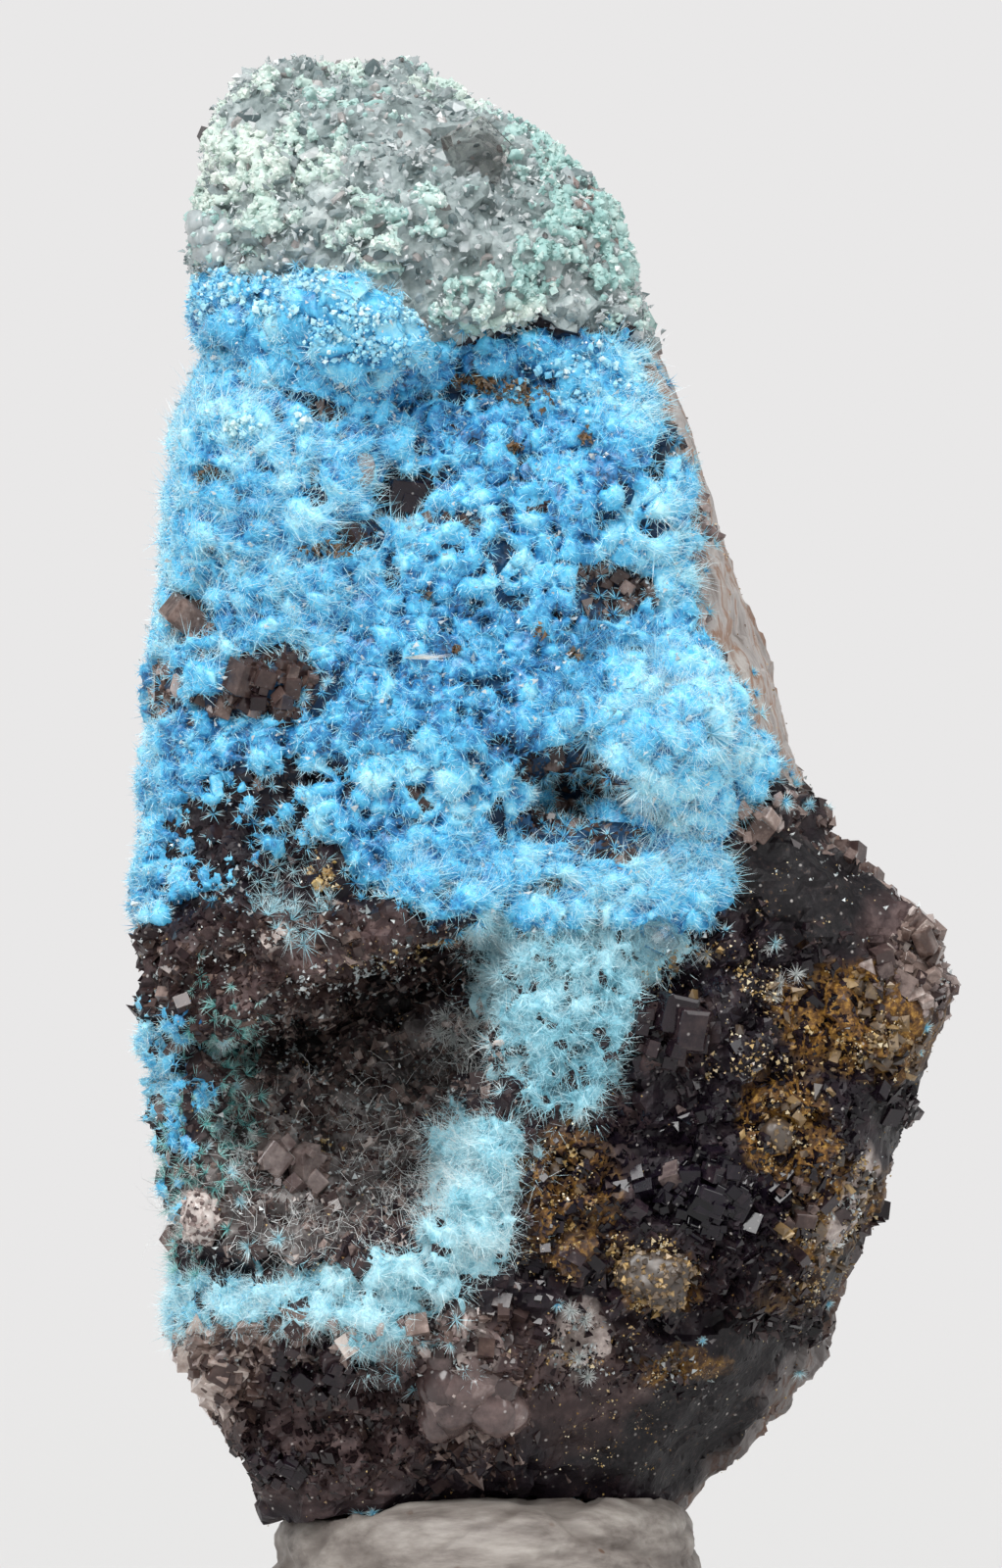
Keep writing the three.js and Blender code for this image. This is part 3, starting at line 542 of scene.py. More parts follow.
def blend(tree, share, low, high):
    """Mixes two colours by a share. Each is a hex colour or a socket."""
    node = add_node(tree, "ShaderNodeMix", data_type="RGBA")
    for socket, value in ((node.inputs[0], share), (node.inputs[6], low), (node.inputs[7], high)):
        if isinstance(value, bpy.types.NodeSocket):
            tree.links.new(value, socket)
        else:
            socket.default_value = linear(value) if isinstance(value, str) else value
    return node.outputs[2]


def sum_of(tree, operation, first, second):
    """A Math node on two sockets or numbers."""
    node = add_node(tree, "ShaderNodeMath", operation=operation)
    for socket, value in zip(node.inputs, (first, second)):
        if isinstance(value, bpy.types.NodeSocket):
            tree.links.new(value, socket)
        else:
            socket.default_value = value
    return node.outputs[0]


def swing(tree, value, reach):
    """Noise about 0 in place of noise about 0.5."""
    return sum_of(tree, "MULTIPLY", sum_of(tree, "SUBTRACT", value, 0.5), reach)


def bump(tree, height, strength, depth):
    """Bumps of a height that varies from 0 to depth (mm)."""
    return add_node(tree, "ShaderNodeBump", {
        "Strength": strength, "Distance": depth * MM, "Height": height}).outputs["Normal"]


def dust_specks(tree, amount, density=3.2):
    """Scattered specks, about density to the millimetre, as a share from 0 to amount."""
    cells = add_node(tree, "ShaderNodeTexVoronoi", {"Vector": place_in(tree), "Scale": density / MM})
    number = add_node(tree, "ShaderNodeSeparateColor", {"Color": cells.outputs["Color"]}).outputs["Red"]
    return sum_of(tree, "MULTIPLY", mapped(tree, cells.outputs["Distance"], 0.2, 0.1),
                  mapped(tree, number, 0.6, 1.0, amount))


print("white turns into", linear("#ffffff")[:3])

# %% [markdown]
# The rock is dark fluorite with quartz: glassy where a crystal face shows, dull where it is
# stained. Its colours shift within a millimetre, so each region's colour is broken by noise
# at 0.4 to 2 mm, and the edge between regions by the same noise. Grit of 0.1 mm gives the bump.

# %% The rock's material
rock_material, tree = new_material("broken_fluorite_rock")
fine, broad, grit = noise(tree, 0.9, 6.0, 0.65), noise(tree, 0.35, 4.0), noise(tree, 4.5, 4.0, 0.7)
dark = ramp(tree, fine, [(0.30, "#0c080f"), (0.48, "#1a131a"), (0.62, "#2d2328"), (0.78, "#584947")])
brown = ramp(tree, fine, [(0.30, "#241a1b"), (0.50, "#453636"), (0.64, "#6a5856"), (0.80, "#a5948e")])
ochre = ramp(tree, grit, [(0.34, "#2e211b"), (0.50, "#6b4a26"), (0.62, "#a57c3a"), (0.76, "#cfa95c")])
pale = ramp(tree, grit, [(0.30, "#8d807c"), (0.55, "#b9aca6"), (0.80, "#e3dcd6")])
charcoal = ramp(tree, grit, [(0.30, "#0b090c"), (0.50, "#181518"), (0.62, "#272224"), (0.72, "#54402f"),
                             (0.80, "#8a7f78")])
floor = ramp(tree, fine, [(0.30, "#1f1c1c"), (0.46, "#4a4443"), (0.58, "#7a7472"), (0.72, "#bdb6b3")])
capped = ramp(tree, fine, [(0.28, "#44504f"), (0.42, "#7c8989"), (0.56, "#a4b0b0"), (0.76, "#d8e0de")])
under_blue = ramp(tree, fine, [(0.30, "#0b121d"), (0.50, "#143552"), (0.70, "#2a6c9c")])
bands = noise(tree, 0.8, 6.0, 0.6, (0.0, 0.32, 0.0), (1.0, 1.0, 0.2))
banded = ramp(tree, bands, [(0.32, "#75695f"), (0.42, "#aca4a0"), (0.50, "#c6c0bc"), (0.55, "#a27e68"),
                            (0.61, "#c3bcb6"), (0.72, "#dfdbd5")])
colour = blend(tree, sum_of(tree, "MULTIPLY", attribute(tree, "back"), 0.92), dark, banded)
for name, region, strength in (
    ("charcoal", charcoal, 1.0), ("brown", brown, 1.0), ("floor", floor, 1.0), ("ochre", ochre, 1.0),
    ("pale", pale, 1.0), ("blue", under_blue, 0.8), ("cap", capped, 1.0),
):
    broken = sum_of(tree, "ADD", attribute(tree, name), swing(tree, broad, 0.9))
    share = sum_of(tree, "MULTIPLY", mapped(tree, broken, 0.3, 0.7, strength),
                   mapped(tree, attribute(tree, name), 0.0, 0.15))
    colour = blend(tree, share, colour, region)
colour = blend(tree, dust_specks(tree, 0.8), colour, "#c9c3bf")
# Painted shade: the hollows are darkened to nearly black.
colour = blend(tree, sum_of(tree, "MULTIPLY", attribute(tree, "hollow"), 0.85), colour, "#060507")
principled(tree, {"Base Color": colour, "Roughness": mapped(tree, fine, 0.0, 1.0, 0.62, 0.28), "IOR": 1.46,
                  "Specular IOR Level": 0.3, "Normal": bump(tree, grit, 0.55, 0.06)})
rock.data.materials.clear()
rock.data.materials.append(rock_material)
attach(rock, "root")
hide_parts("matrix")
print(rock_material.name, "has", len(tree.nodes), "nodes")

# %% [markdown]
# ## Strewing small things
# Thousands of grains, crystals and needles grow on the rock. Each kind has a small prototype,
# shaped with bmesh. A helper picks places on the rock by area, and another copies the
# prototype to every place as one joined mesh, because instances would be lost when the model is
# exported. The share of a region at each place decides what stays.

# %% Picking places on a surface


def surface_of(mesh, **values):
    """A mesh's triangles, ready for strewing, with values known at its vertices."""
    mesh.calc_loop_triangles()
    triangles = np.empty(len(mesh.loop_triangles) * 3, np.int32)
    mesh.loop_triangles.foreach_get("vertices", triangles)
    triangles = triangles.reshape(-1, 3)
    corners = read_points(mesh)[triangles]
    facing = np.cross(corners[:, 1] - corners[:, 0], corners[:, 2] - corners[:, 0])
    areas = np.linalg.norm(facing, axis=1) / 2
    facing /= np.maximum(areas * 2, 1e-15)[:, None]
    return {"triangles": triangles, "corners": corners, "facing": facing, "areas": areas,
            "normals": read_normals(mesh), "values": values}


def strew(surface, count, seed):
    """Random places by area: points, normals, and the surface's values there."""
    draw = np.random.default_rng(seed)
    areas = surface["areas"]
    chosen = draw.choice(len(areas), count, p=areas / areas.sum())
    shares = draw.dirichlet((1, 1, 1), count)
    corner = surface["triangles"][chosen]
    normals = surface["normals"][corner].mean(1) * 1.5 + surface["facing"][chosen]
    places = {"points": (surface["corners"][chosen] * shares[:, :, None]).sum(1),
              "normals": normals / np.linalg.norm(normals, axis=1)[:, None]}
    for name, value in surface["values"].items():
        places[name] = (value[corner] * shares).sum(1)
    return places


def only(places, chosen):
    return {name: value[chosen] for name, value in places.items()}


def spread_out(points, distance):
    """Indices of places that keep a distance from each other. It may differ from place to place."""
    distance = np.broadcast_to(distance, len(points))
    widest = float(distance.max())
    grid, kept = {}, []
    cells = np.floor(points / widest).astype(int)
    for i, (cell, reach) in enumerate(zip(map(tuple, cells), distance)):
        near = (
            j
            for step in itertools.product((-1, 0, 1), repeat=3)
            for j in grid.get((cell[0] + step[0], cell[1] + step[1], cell[2] + step[2]), ())
        )
        if all(((points[i] - points[j]) ** 2).sum() > reach * reach for j in near):
            grid.setdefault(cell, []).append(i)
            kept.append(i)
    return np.array(kept, int)


rock_surface = surface_of(rock.data)
print("the rock's surface is", round(rock_surface["areas"].sum() / MM**2), "square mm")

# %% Joining copies of a prototype


def prototype(build):
    """Vertices and triangles of a small shape that build(bm) makes."""
    bm = bmesh.new()
    build(bm)
    bmesh.ops.recalc_face_normals(bm, faces=bm.faces)
    bmesh.ops.triangulate(bm, faces=bm.faces)
    bm.verts.ensure_lookup_table()
    points = np.array([v.co for v in bm.verts])
    faces = np.array([[v.index for v in face.verts] for face in bm.faces])
    bm.free()
    return points, faces


def mesh_piece(name, points, faces, material, attributes):
    """One mesh of many shapes: points (n, v, 3), the faces of one shape, and values for each shape."""
    count, size = points.shape[:2]
    mesh = bpy.data.meshes.new(name)
    mesh.vertices.add(count * size)
    mesh.vertices.foreach_set("co", points.ravel())
    indices = (faces[None] + (np.arange(count) * size)[:, None, None]).ravel()
    mesh.loops.add(len(indices))
    mesh.loops.foreach_set("vertex_index", indices)
    mesh.polygons.add(len(indices) // 3)
    mesh.polygons.foreach_set("loop_start", np.arange(0, len(indices), 3))
    mesh.update(calc_edges=True)
    mesh.shade_flat()
    for label, values in attributes.items():
        write_attribute(mesh, label, np.repeat(values, size) if len(values) == count else values)
    mesh.materials.append(material)
    piece = placed(name, mesh)
    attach(piece, "root")
    print(name, "has", count, "shapes and", len(mesh.polygons), "faces")
    return piece


def joined_copies(name, shape, origins, axes, material, attributes, tip_attribute=None):
    """Copies of a prototype. axes is (n, 3, 3): each copy's X, Y and Z as columns."""
    points, faces = shape
    spots = origins[:, None, :] + np.einsum("nij,vj->nvi", axes, points)
    if tip_attribute:
        attributes = {**attributes, tip_attribute: np.tile(np.clip(points[:, 2], 0, 1), len(origins))}
    return mesh_piece(name, spots, faces, material, attributes)


def upright_axes(direction, length, width, draw):
    """Axes whose Z runs along direction, turned at random about it."""
    direction = direction / np.linalg.norm(direction, axis=1)[:, None]
    helper = draw.normal(size=direction.shape)
    side = np.cross(direction, helper)
    side /= np.linalg.norm(side, axis=1)[:, None]
    other = np.cross(direction, side)
    width = np.broadcast_to(width, len(direction))[:, None]
    length = np.broadcast_to(length, len(direction))[:, None]
    return np.stack([side * width, other * width, direction * length], axis=2)


def tumbled_axes(size, draw):
    """Axes turned any way, with a size for each axis of each copy, (n, 3)."""
    turn = np.linalg.qr(draw.normal(size=(len(size), 3, 3)))[0]
    turn *= np.sign(np.linalg.det(turn))[:, None, None]
    return turn * size[:, None, :]


def crooked_axes(size, draw, shear=0.5):
    """Tumbled axes that also lean into each other, for shapes that look broken. Size is (n,)."""
    size = size[:, None] * (0.55 + 0.8 * draw.random((len(size), 3)))
    turned = tumbled_axes(size, draw)
    return turned @ (np.eye(3) + shear * np.triu(draw.normal(size=turned.shape), 1))


def needle(bm):
    bmesh.ops.create_cone(bm, cap_ends=True, segments=3, radius1=1, radius2=0, depth=1)
    bmesh.ops.translate(bm, verts=bm.verts, vec=(0, 0, 0.5))
    bmesh.ops.remove_doubles(bm, verts=bm.verts, dist=1e-6)


def cube_corner(bm):
    """The corner of a cube that shows where the cube sits deep in the rock."""
    bmesh.ops.create_cube(bm, size=1)
    bmesh.ops.translate(bm, verts=bm.verts, vec=(-0.5, -0.5, -0.5))
    near = [v for v in bm.verts if v.co.length <= 1.01]
    bmesh.ops.delete(bm, geom=[v for v in bm.verts if v not in near], context="VERTS")
    bmesh.ops.convex_hull(bm, input=bm.verts)


def cube_crystal(bm):
    bmesh.ops.create_cube(bm, size=1)


def grain(bm):
    bmesh.ops.create_icosphere(bm, subdivisions=1, radius=0.5)


def small_grain(bm):
    bmesh.ops.create_cone(bm, cap_ends=False, segments=4, radius1=0.5, radius2=0, depth=0.5)
    bmesh.ops.translate(bm, verts=bm.verts, vec=(0, 0, 0.25))
    bmesh.ops.mirror(bm, geom=bm.verts[:] + bm.edges[:] + bm.faces[:], merge_dist=1e-4, axis="Z")


def chip(bm):
    bmesh.ops.create_cone(bm, cap_ends=True, segments=3, radius1=0.6, radius2=0, depth=0.9)
    bmesh.ops.remove_doubles(bm, verts=bm.verts, dist=1e-6)


NEEDLE, CUBE, CORNER, GRAIN, BEAD, CHIP = map(
    prototype, (needle, cube_crystal, cube_corner, grain, small_grain, chip))
for shape_name, shape in {"needle": NEEDLE, "cube": CUBE, "corner": CORNER, "grain": GRAIN, "bead": BEAD,
                          "chip": CHIP}.items():
    print("a", shape_name, "has", len(shape[1]), "triangles")

# %% Sowing grains


def sown(name, surface, count, seed, chance_of, size, shape, material, tone, lift=0.0, sink=0.0,
         apart=0.0, stretch=None, scale_of=None, lift_of=None, warm_of=None, even_tones=False):
    """Grains strewn where chance_of(places) lets them stay, joined in one piece.

    Size is (least, added, power) in mm. A grain is lifted by up to lift mm or sunk by a share of its
    size, and can keep a share of its size apart from others. With a stretch it is crooked.
    """
    places = strew(surface, count, seed)
    draw = np.random.default_rng(seed + 1)
    places = only(places, draw.random(count) < chance_of(places))
    least, added, power = size
    width = (least + added * draw.random(len(places["points"])) ** power) * MM
    if apart:
        kept = spread_out(places["points"], width * apart)
        places, width = only(places, kept), width[kept]
    if scale_of:
        width = width * scale_of(places)
    number = len(width)
    if stretch is None:
        sides = width[:, None] * (0.9 + 0.8 * draw.random((number, 3)))
    raised = lift * MM * draw.random(number) if lift else -sink * width
    if lift_of:
        raised = raised * lift_of(places)
    if stretch is None:
        axes = tumbled_axes(sides, draw)
    else:
        axes = crooked_axes(width * stretch, draw)
    base, spread = tone
    base = base(places) if callable(base) else base
    tones = base + spread * (draw.random if even_tones else draw.normal)(size=number)
    values = {"tone": np.clip(tones, 0, 1)}
    if warm_of:
        values["warm"] = warm_of(places, draw)
    return joined_copies(name, shape, places["points"] + places["normals"] * raised[:, None], axes,
                         material, values)


again = [strew(rock_surface, 100, 1)["points"] for _ in range(2)]
print("one seed strews the same places each time:", np.array_equal(*again))

# %% [markdown]
# ## Crystals and grains
# Bare rock is lined with fluorite cubes. Neighbouring cubes grow parallel, which gives fluorite
# its stepped look, so each patch of a few millimetres shares one orientation, with a little
# scatter. A cube sits more than half in the rock. Sizes and colours follow the photograph's regions.

# %% Glassy crystals


def crystal_material(name, stops, roughness, transmission=0.0, ior=1.434, dusty=0.0, warm_stops=None):
    """A glassy crystal, its colour picked along stops by its tone and noise. Warm ones have their own."""
    material, tree = new_material(name)
    place = sum_of(tree, "ADD", attribute(tree, "tone"), swing(tree, noise(tree, 2.6, 5.0, 0.65), 0.7))
    colour = ramp(tree, place, stops)
    if warm_stops:
        colour = blend(tree, attribute(tree, "warm"), colour, ramp(tree, place, warm_stops))
    colour = blend(tree, dust_specks(tree, dusty), colour, "#cfc9c6")
    principled(tree, {"Base Color": colour, "Roughness": roughness, "IOR": ior,
                      "Transmission Weight": transmission})
    return material


fluorite = crystal_material(
    "smoky_purple_fluorite",
    [(0.0, "#08060b"), (0.3, "#17111b"), (0.55, "#352a30"), (0.8, "#80726e"), (1.0, "#c9bfbb")], 0.1,
    dusty=0.8,
    warm_stops=[(0.0, "#120c0d"), (0.3, "#2e2122"), (0.55, "#56453f"), (0.8, "#98857d"), (1.0, "#d6c9c1")])
quartz = crystal_material(
    "cloudy_quartz",
    [(0.0, "#5d6d70"), (0.3, "#8d9fa1"), (0.5, "#afbcbd"), (0.7, "#c9d4d6"), (1.0, "#f0f5f5")],
    0.14, 0.35, 1.544, dusty=0.9,
    warm_stops=[(0.0, "#6b5f5e"), (0.3, "#948581"), (0.55, "#bcaeaa"), (0.8, "#dbd2cf"), (1.0, "#f2ecea")])
pink_quartz = crystal_material(
    "pinkish_quartz", [(0.0, "#4b3c3b"), (0.3, "#776461"), (0.6, "#bfaea8"), (1.0, "#f0e6e0")],
    0.18, 0.2, 1.544, dusty=0.9)
limonite = crystal_material(
    "golden_limonite", [(0.0, "#3f2a1a"), (0.3, "#80603a"), (0.6, "#c3a468"), (1.0, "#f7ebcb")],
    0.2, 0.0, 1.9)

# (x, y, half width, half height, tilt, strength) in pixels, then crystal size in mm, tone and warmth
DRUSE = {
    "stepped fluorite": ([(700, 1215, 130, 110, 0, 1.0), (690, 1060, 70, 60, 0, 0.9)], 0.28, 0.2, 0.0),
    "dark right": ([(760, 1080, 190, 130, -20, 0.9), (560, 1200, 60, 120, 0, 0.9)], 0.17, 0.24, 0.1),
    "lower right": ([(760, 1340, 150, 70, -25, 0.8), (620, 1400, 150, 60, 0, 0.8)], 0.16, 0.28, 0.4),
    "bottom left": ([(310, 1440, 160, 120, 0, 1.0), (210, 1400, 60, 60, 0, 1.0)], 0.19, 0.24, 0.8),
    "pale rim": ([(300, 1368, 160, 26, 4, 0.9), (212, 1398, 52, 60, 0, 1.0)], 0.36, 0.78, 1.0),
    "pink lump": ([(492, 1420, 66, 90, 0, 1.0)], 0.22, 0.42, 1.0),
    "ledge": ([(310, 985, 170, 66, 0, 1.0)], 0.18, 0.4, 1.0),
    "hollow": ([(370, 1150, 170, 150, 0, 0.8)], 0.17, 0.66, 0.5),
    "right corner": ([(945, 975, 46, 70, -20, 1.0), (880, 870, 60, 26, -30, 0.7)], 0.26, 0.66, 0.7),
    "sparse coat": ([(*oval[:5], 0.9) for oval in SPARSE_IN_BLUE], 0.18, 0.26, 0.3),
    "bare in the coat": ([(x, y, wide * 1.2, high * 1.2, tilt, 1.0)
                          for x, y, wide, high, tilt, _ in BARE_IN_BLUE], 0.23, 0.46, 1.0),
}


def parallel_axes(points, size, scatter, seed, patch=3.2 * MM):
    """Orientations shared by all crystals of a patch, but for a little scatter."""
    cell = np.floor(points / patch + lumps(points, patch, seed)[:, None] * 0.4).astype(int)
    _, owner = np.unique(cell, axis=0, return_inverse=True)
    draw = np.random.default_rng(seed)
    turns = np.linalg.qr(draw.normal(size=(owner.max() + 1, 3, 3)))[0][owner.ravel()]
    turns = np.linalg.qr(turns + scatter * draw.normal(size=turns.shape))[0]
    turns *= np.sign(np.linalg.det(turns))[:, None, None]
    return turns * size[:, None, :]


def outward_axes(axes, normals):
    """The same orientations with every axis on the outer side of the rock."""
    axes = axes * np.where(np.einsum("nij,ni->nj", axes, normals) < 0, -1, 1)[:, None, :]
    mirrored = np.linalg.det(axes) < 0
    axes[mirrored] = axes[mirrored][:, :, [1, 0, 2]]
    return axes


DRUSE_STREWN = 170000
druse = strew(rock_surface, DRUSE_STREWN, 201)
druse_pixels = ragged(druse["points"], 12.0, 0.9 * MM, 203)
druse_draw = np.random.default_rng(202)
druse_front = front_share(druse["points"], 2.5 * MM)
weight, size = 0.03 + 0.07 * druse_front, np.full(DRUSE_STREWN, 0.24)
tone = 0.45 + 0.33 * (1 - druse_front)
warm = np.full(DRUSE_STREWN, 0.5)
for ovals, region_size, region_tone, region_warm in DRUSE.values():
    share = patches(druse_pixels, ovals, 0.7) * druse_front
    weight = np.maximum(weight, share)
    size += share * (region_size - size)
    tone += share * (region_tone - tone)
    warm += share * (region_warm - warm)
covered = inside(druse_pixels, BLUE_OUTLINE) * (1 - patches(druse_pixels, BARE_IN_BLUE + SPARSE_IN_BLUE, 0.5))
for region in ("upper", "band"):
    covered = np.maximum(covered, inside(druse_pixels, AQUA_OUTLINES[region]))
weight *= 1 - covered * front_share(druse["points"], 1.5 * MM)
weight *= 1 - inside(druse_pixels, CAP_OUTLINE) * front_share(druse["points"], 4.5 * MM)
weight *= 1 - slab_at(druse["points"], druse_pixels, 24)
weight *= 1 - 0.96 * patches(druse_pixels, SMOOTH_FACES, 0.6)
weight *= smooth_step(6.4 * MM, 7.4 * MM, druse["points"][:, 2])
clumped = 0.5 + 0.5 * lumps(druse["points"], 1.3 * MM, 204)
size = size * np.exp(np.clip(0.4 * druse_draw.normal(size=len(size)), -0.8, 0.6)) * (0.75 + 0.5 * clumped)
tone = np.clip(tone + 0.14 * druse_draw.normal(size=len(tone)), 0, 1)
druse.update(size=size, tone=tone, warm=warm)
druse = only(druse, druse_draw.random(len(weight)) < weight * (0.4 + 0.8 * clumped))
druse = only(druse, spread_out(druse["points"], druse["size"] * 0.42 * MM)[:31000])
sides = druse["size"][:, None] * MM * (0.8 + 0.8 * druse_draw.random((len(druse["size"]), 3)))
turned = parallel_axes(druse["points"], sides, 0.12, 205)
whole = druse_draw.random(len(sides)) < 0.06 + 0.3 * (druse["size"] > 0.36)
for name, shape, chosen, lift in (
    ("fluorite_cubes", CUBE, whole, -0.22), ("fluorite_corners", CORNER, ~whole, 0.24),
):
    axes = turned[chosen] if shape is CUBE else outward_axes(turned[chosen], druse["normals"][chosen])
    raised = druse["size"][chosen] * (lift + 0.25 * (druse_draw.random(chosen.sum()) - 0.5)) * MM
    joined_copies(name, shape, druse["points"][chosen] + druse["normals"][chosen] * raised[:, None],
                  axes, fluorite, {"tone": druse["tone"][chosen], "warm": druse["warm"][chosen]})

# %% [markdown]
# Limonite is what is left when iron minerals rust in the rock: grains, clods and crusts the
# colour of old gold. The grains are small chips, thick in the stained patches and thin over the
# rest of the dark rock. On the real piece many are finer than one pixel of the photo.

# %% Gold grains
GOLD = [(865, 1045, 76, 40, -28, 1.0), (800, 1000, 60, 16, 8, 0.7), (770, 1090, 60, 34, -20, 0.6),
        (850, 1250, 44, 74, -24, 0.8), (800, 1165, 40, 26, 0, 0.7), (580, 1225, 24, 60, -8, 0.5),
        (665, 1300, 46, 36, 0, 1.0), (590, 1380, 60, 30, 0, 0.6), (690, 1395, 40, 14, 0, 0.8),
        (335, 893, 20, 18, 0, 1.0), (400, 965, 60, 16, 0, 0.55), (350, 1290, 30, 12, 0, 0.4),
        (620, 1460, 70, 40, 0, 0.4), (720, 985, 60, 30, 0, 0.4), (560, 1270, 30, 60, 0, 0.35),
        (330, 1175, 14, 10, 0, 1.0), (760, 900, 80, 30, -20, 0.2)]


def gold_pixels(points):
    return ragged(points, 14.0, 0.7 * MM, 303)


def gold_chance(places):
    """Clumped in the stained patches, with a thin dusting over all the dark rock."""
    points = places["points"]
    pixels = gold_pixels(points)
    dark_rock = 1 - np.maximum(inside(pixels, BLUE_OUTLINE), inside(pixels, CAP_OUTLINE))
    clumps = smooth_step(0.0, 0.35, lumps(points, 0.6 * MM, 304) + 0.6 * lumps(points, 0.22 * MM, 305))
    chance = patches(pixels, GOLD, 1.0) * (0.03 + 0.97 * clumps)
    return np.maximum(chance, 0.012 * dark_rock) * front_share(points, 3 * MM)


def gold_scale(places):
    """Finer where it is thin and on the smooth faces."""
    smooth = patches(gold_pixels(places["points"]), SMOOTH_FACES, 0.6)
    return 0.5 + 0.5 * smooth_step(0.0, 0.3, gold_chance(places)) * (1 - smooth)


sown("limonite_grains", rock_surface, 420000, 301, gold_chance, (0.03, 0.1, 2.5), CHIP, limonite,
     (0.5, 0.25), lift=0.28, scale_of=gold_scale,
     lift_of=lambda places: 0.4 - 0.6 * np.clip(places["normals"][:, 1], -1, 0))
LUMPY_GOLD = [(865, 1045, 80, 42, -28, 1.0), (790, 1160, 30, 26, 0, 1.0), (825, 1155, 24, 22, 0, 1.0),
              (800, 1100, 60, 30, -20, 0.6), (850, 1240, 40, 70, -24, 0.8), (665, 1306, 44, 32, 0, 1.0),
              (580, 1230, 24, 60, -8, 0.4), (690, 1395, 34, 14, 0, 0.8), (720, 985, 50, 30, 0, 0.3)]


def clumped_in(ovals, soft, reach, width, seed, low, high, clump, most=1.0):
    """A chance for sown(): high in the ovals on the front, in clumps of a width in mm."""
    def chance(places):
        points = places["points"]
        region = patches(ragged(points, reach, width * MM, seed), ovals, soft) * front_share(points, 3 * MM)
        return region * (most * smooth_step(low, high, lumps(points, clump * MM, seed + 1)))
    return chance


olive_limonite = crystal_material(
    "olive_brown_limonite",
    [(0.0, "#1d1510"), (0.35, "#4a3826"), (0.65, "#84683c"), (1.0, "#c2a063")], 0.5, 0.0, 1.9)
sown("limonite_clods", rock_surface, 120000, 331,
     clumped_in(LUMPY_GOLD, 0.9, 12.0, 0.7, 333, 0.0, 0.4, 0.7, 0.7),
     (0.12, 0.3, 2), BEAD, olive_limonite, (0.45, 0.22), lift=0.16, stretch=1.3)

# %% [markdown]
# Along the top and the left of the lower rock, and at its right corner, cloudy quartz crystals
# stand on the fluorite and let the light through.

# %% Quartz of the rims
RIMS = [(300, 1372, 150, 22, 4, 1.0), (215, 1440, 30, 80, -20, 0.8), (955, 965, 24, 60, 0, 0.9),
        (770, 834, 34, 16, 20, 0.8), (470, 1362, 40, 24, 0, 1.0), (200, 700, 50, 40, 0, 0.3),
        (704, 620, 14, 40, 0, 0.9), (712, 540, 12, 50, 0, 0.9), (610, 215, 30, 40, 0, 0.6),
        (478, 1050, 24, 22, 0, 1.0)]
sown("rim_quartz", rock_surface, 60000, 321,
     lambda places: patches(ragged(places["points"], 10.0, 0.8 * MM, 323), RIMS, 0.8)
     * front_share(places["points"], 3 * MM),
     (0.24, 0.4, 1.5), GRAIN, pink_quartz, (0.42, 0.16), sink=0.1, apart=0.55, stretch=1.0)

# %% [markdown]
# Fine white quartz sugar frosts the ledge, the rims of the hollow and the pale seams.

# %% Quartz sugar
FROST = [(310, 972, 150, 40, 0, 0.8), (250, 1012, 70, 30, 0, 0.7), (470, 1052, 40, 34, 0, 1.0),
         (835, 900, 90, 34, -24, 0.2), (300, 1372, 140, 22, 0, 0.8), (205, 1240, 34, 34, 0, 0.8),
         (590, 1375, 36, 44, 0, 0.8), (862, 1232, 14, 62, -25, 0.9), (958, 960, 22, 50, 0, 0.8),
         (470, 1370, 44, 40, 0, 0.7), (780, 838, 70, 14, 30, 0.6), (330, 1150, 130, 100, 0, 0.55),
         (410, 508, 34, 30, 0, 0.3), (690, 1395, 40, 16, 0, 0.6), (640, 340, 40, 20, 20, 0.5)]
sown("quartz_sugar", rock_surface, 160000, 311, clumped_in(FROST, 1.0, 12.0, 0.6, 313, -0.1, 0.5, 0.4),
     (0.03, 0.07, 2), CHIP, quartz, (0.8, 0.2), lift=0.2, stretch=1.6)

# %% [markdown]
# ## Skins over the rock
# The crust on the cap and the needle coats cover the rock like a skin, a few tenths of a
# millimetre deep, built of cushions and heads. A skin is made from the rock's own faces: those
# under the coat are copied, given an inside by extruding, and subdivided on the outside, so the skin
# is closed and finer than the rock. Where the coat ends the skin dips into the rock.

# %% Cutting a skin


def fine_skin(name, share, cuts, least=0.04, inward=0.35):
    """A closed skin over the rock where share is above least. Also tells which vertices are outside."""
    bm = bmesh.new()
    bm.from_mesh(rock.data)
    side = bm.verts.layers.float.new("outside")
    bm.verts.ensure_lookup_table()
    spare = [face for face in bm.faces if min(share[v.index] for v in face.verts) <= least]
    bmesh.ops.delete(bm, geom=spare, context="FACES")
    inner = [(vert, vert.co - vert.normal * (inward * MM)) for vert in bm.verts]
    grown = bmesh.ops.extrude_face_region(bm, geom=bm.faces[:], use_keep_orig=True)["geom"]
    outer = {item for item in grown if isinstance(item, bmesh.types.BMVert)}
    for vert, deeper in inner:
        vert.co = deeper
    for vert in outer:
        vert[side] = 1.0
    edges = [edge for edge in bm.edges if edge.verts[0] in outer and edge.verts[1] in outer]
    bmesh.ops.subdivide_edges(bm, edges=edges, cuts=cuts, use_grid_fill=True)
    bmesh.ops.recalc_face_normals(bm, faces=bm.faces)
    bmesh.ops.triangulate(bm, faces=bm.faces)
    # The cutting leaves the faces in a chance order. Sorted, they are strewn the same in every run.
    bm.verts.index_update()
    count = len(bm.verts)
    bm.faces.sort(key=lambda face: sum(vert.index * count**step for step, vert in enumerate(face.verts)))
    outside = np.array([vert[side] for vert in bm.verts])
    mesh = mesh_of(bm, name)
    for label in [a.name for a in mesh.attributes if a.data_type == "FLOAT"]:
        mesh.attributes.remove(mesh.attributes[label])
    mesh.materials.clear()
    piece = placed(name, mesh)
    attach(piece, "root")
    return piece, outside


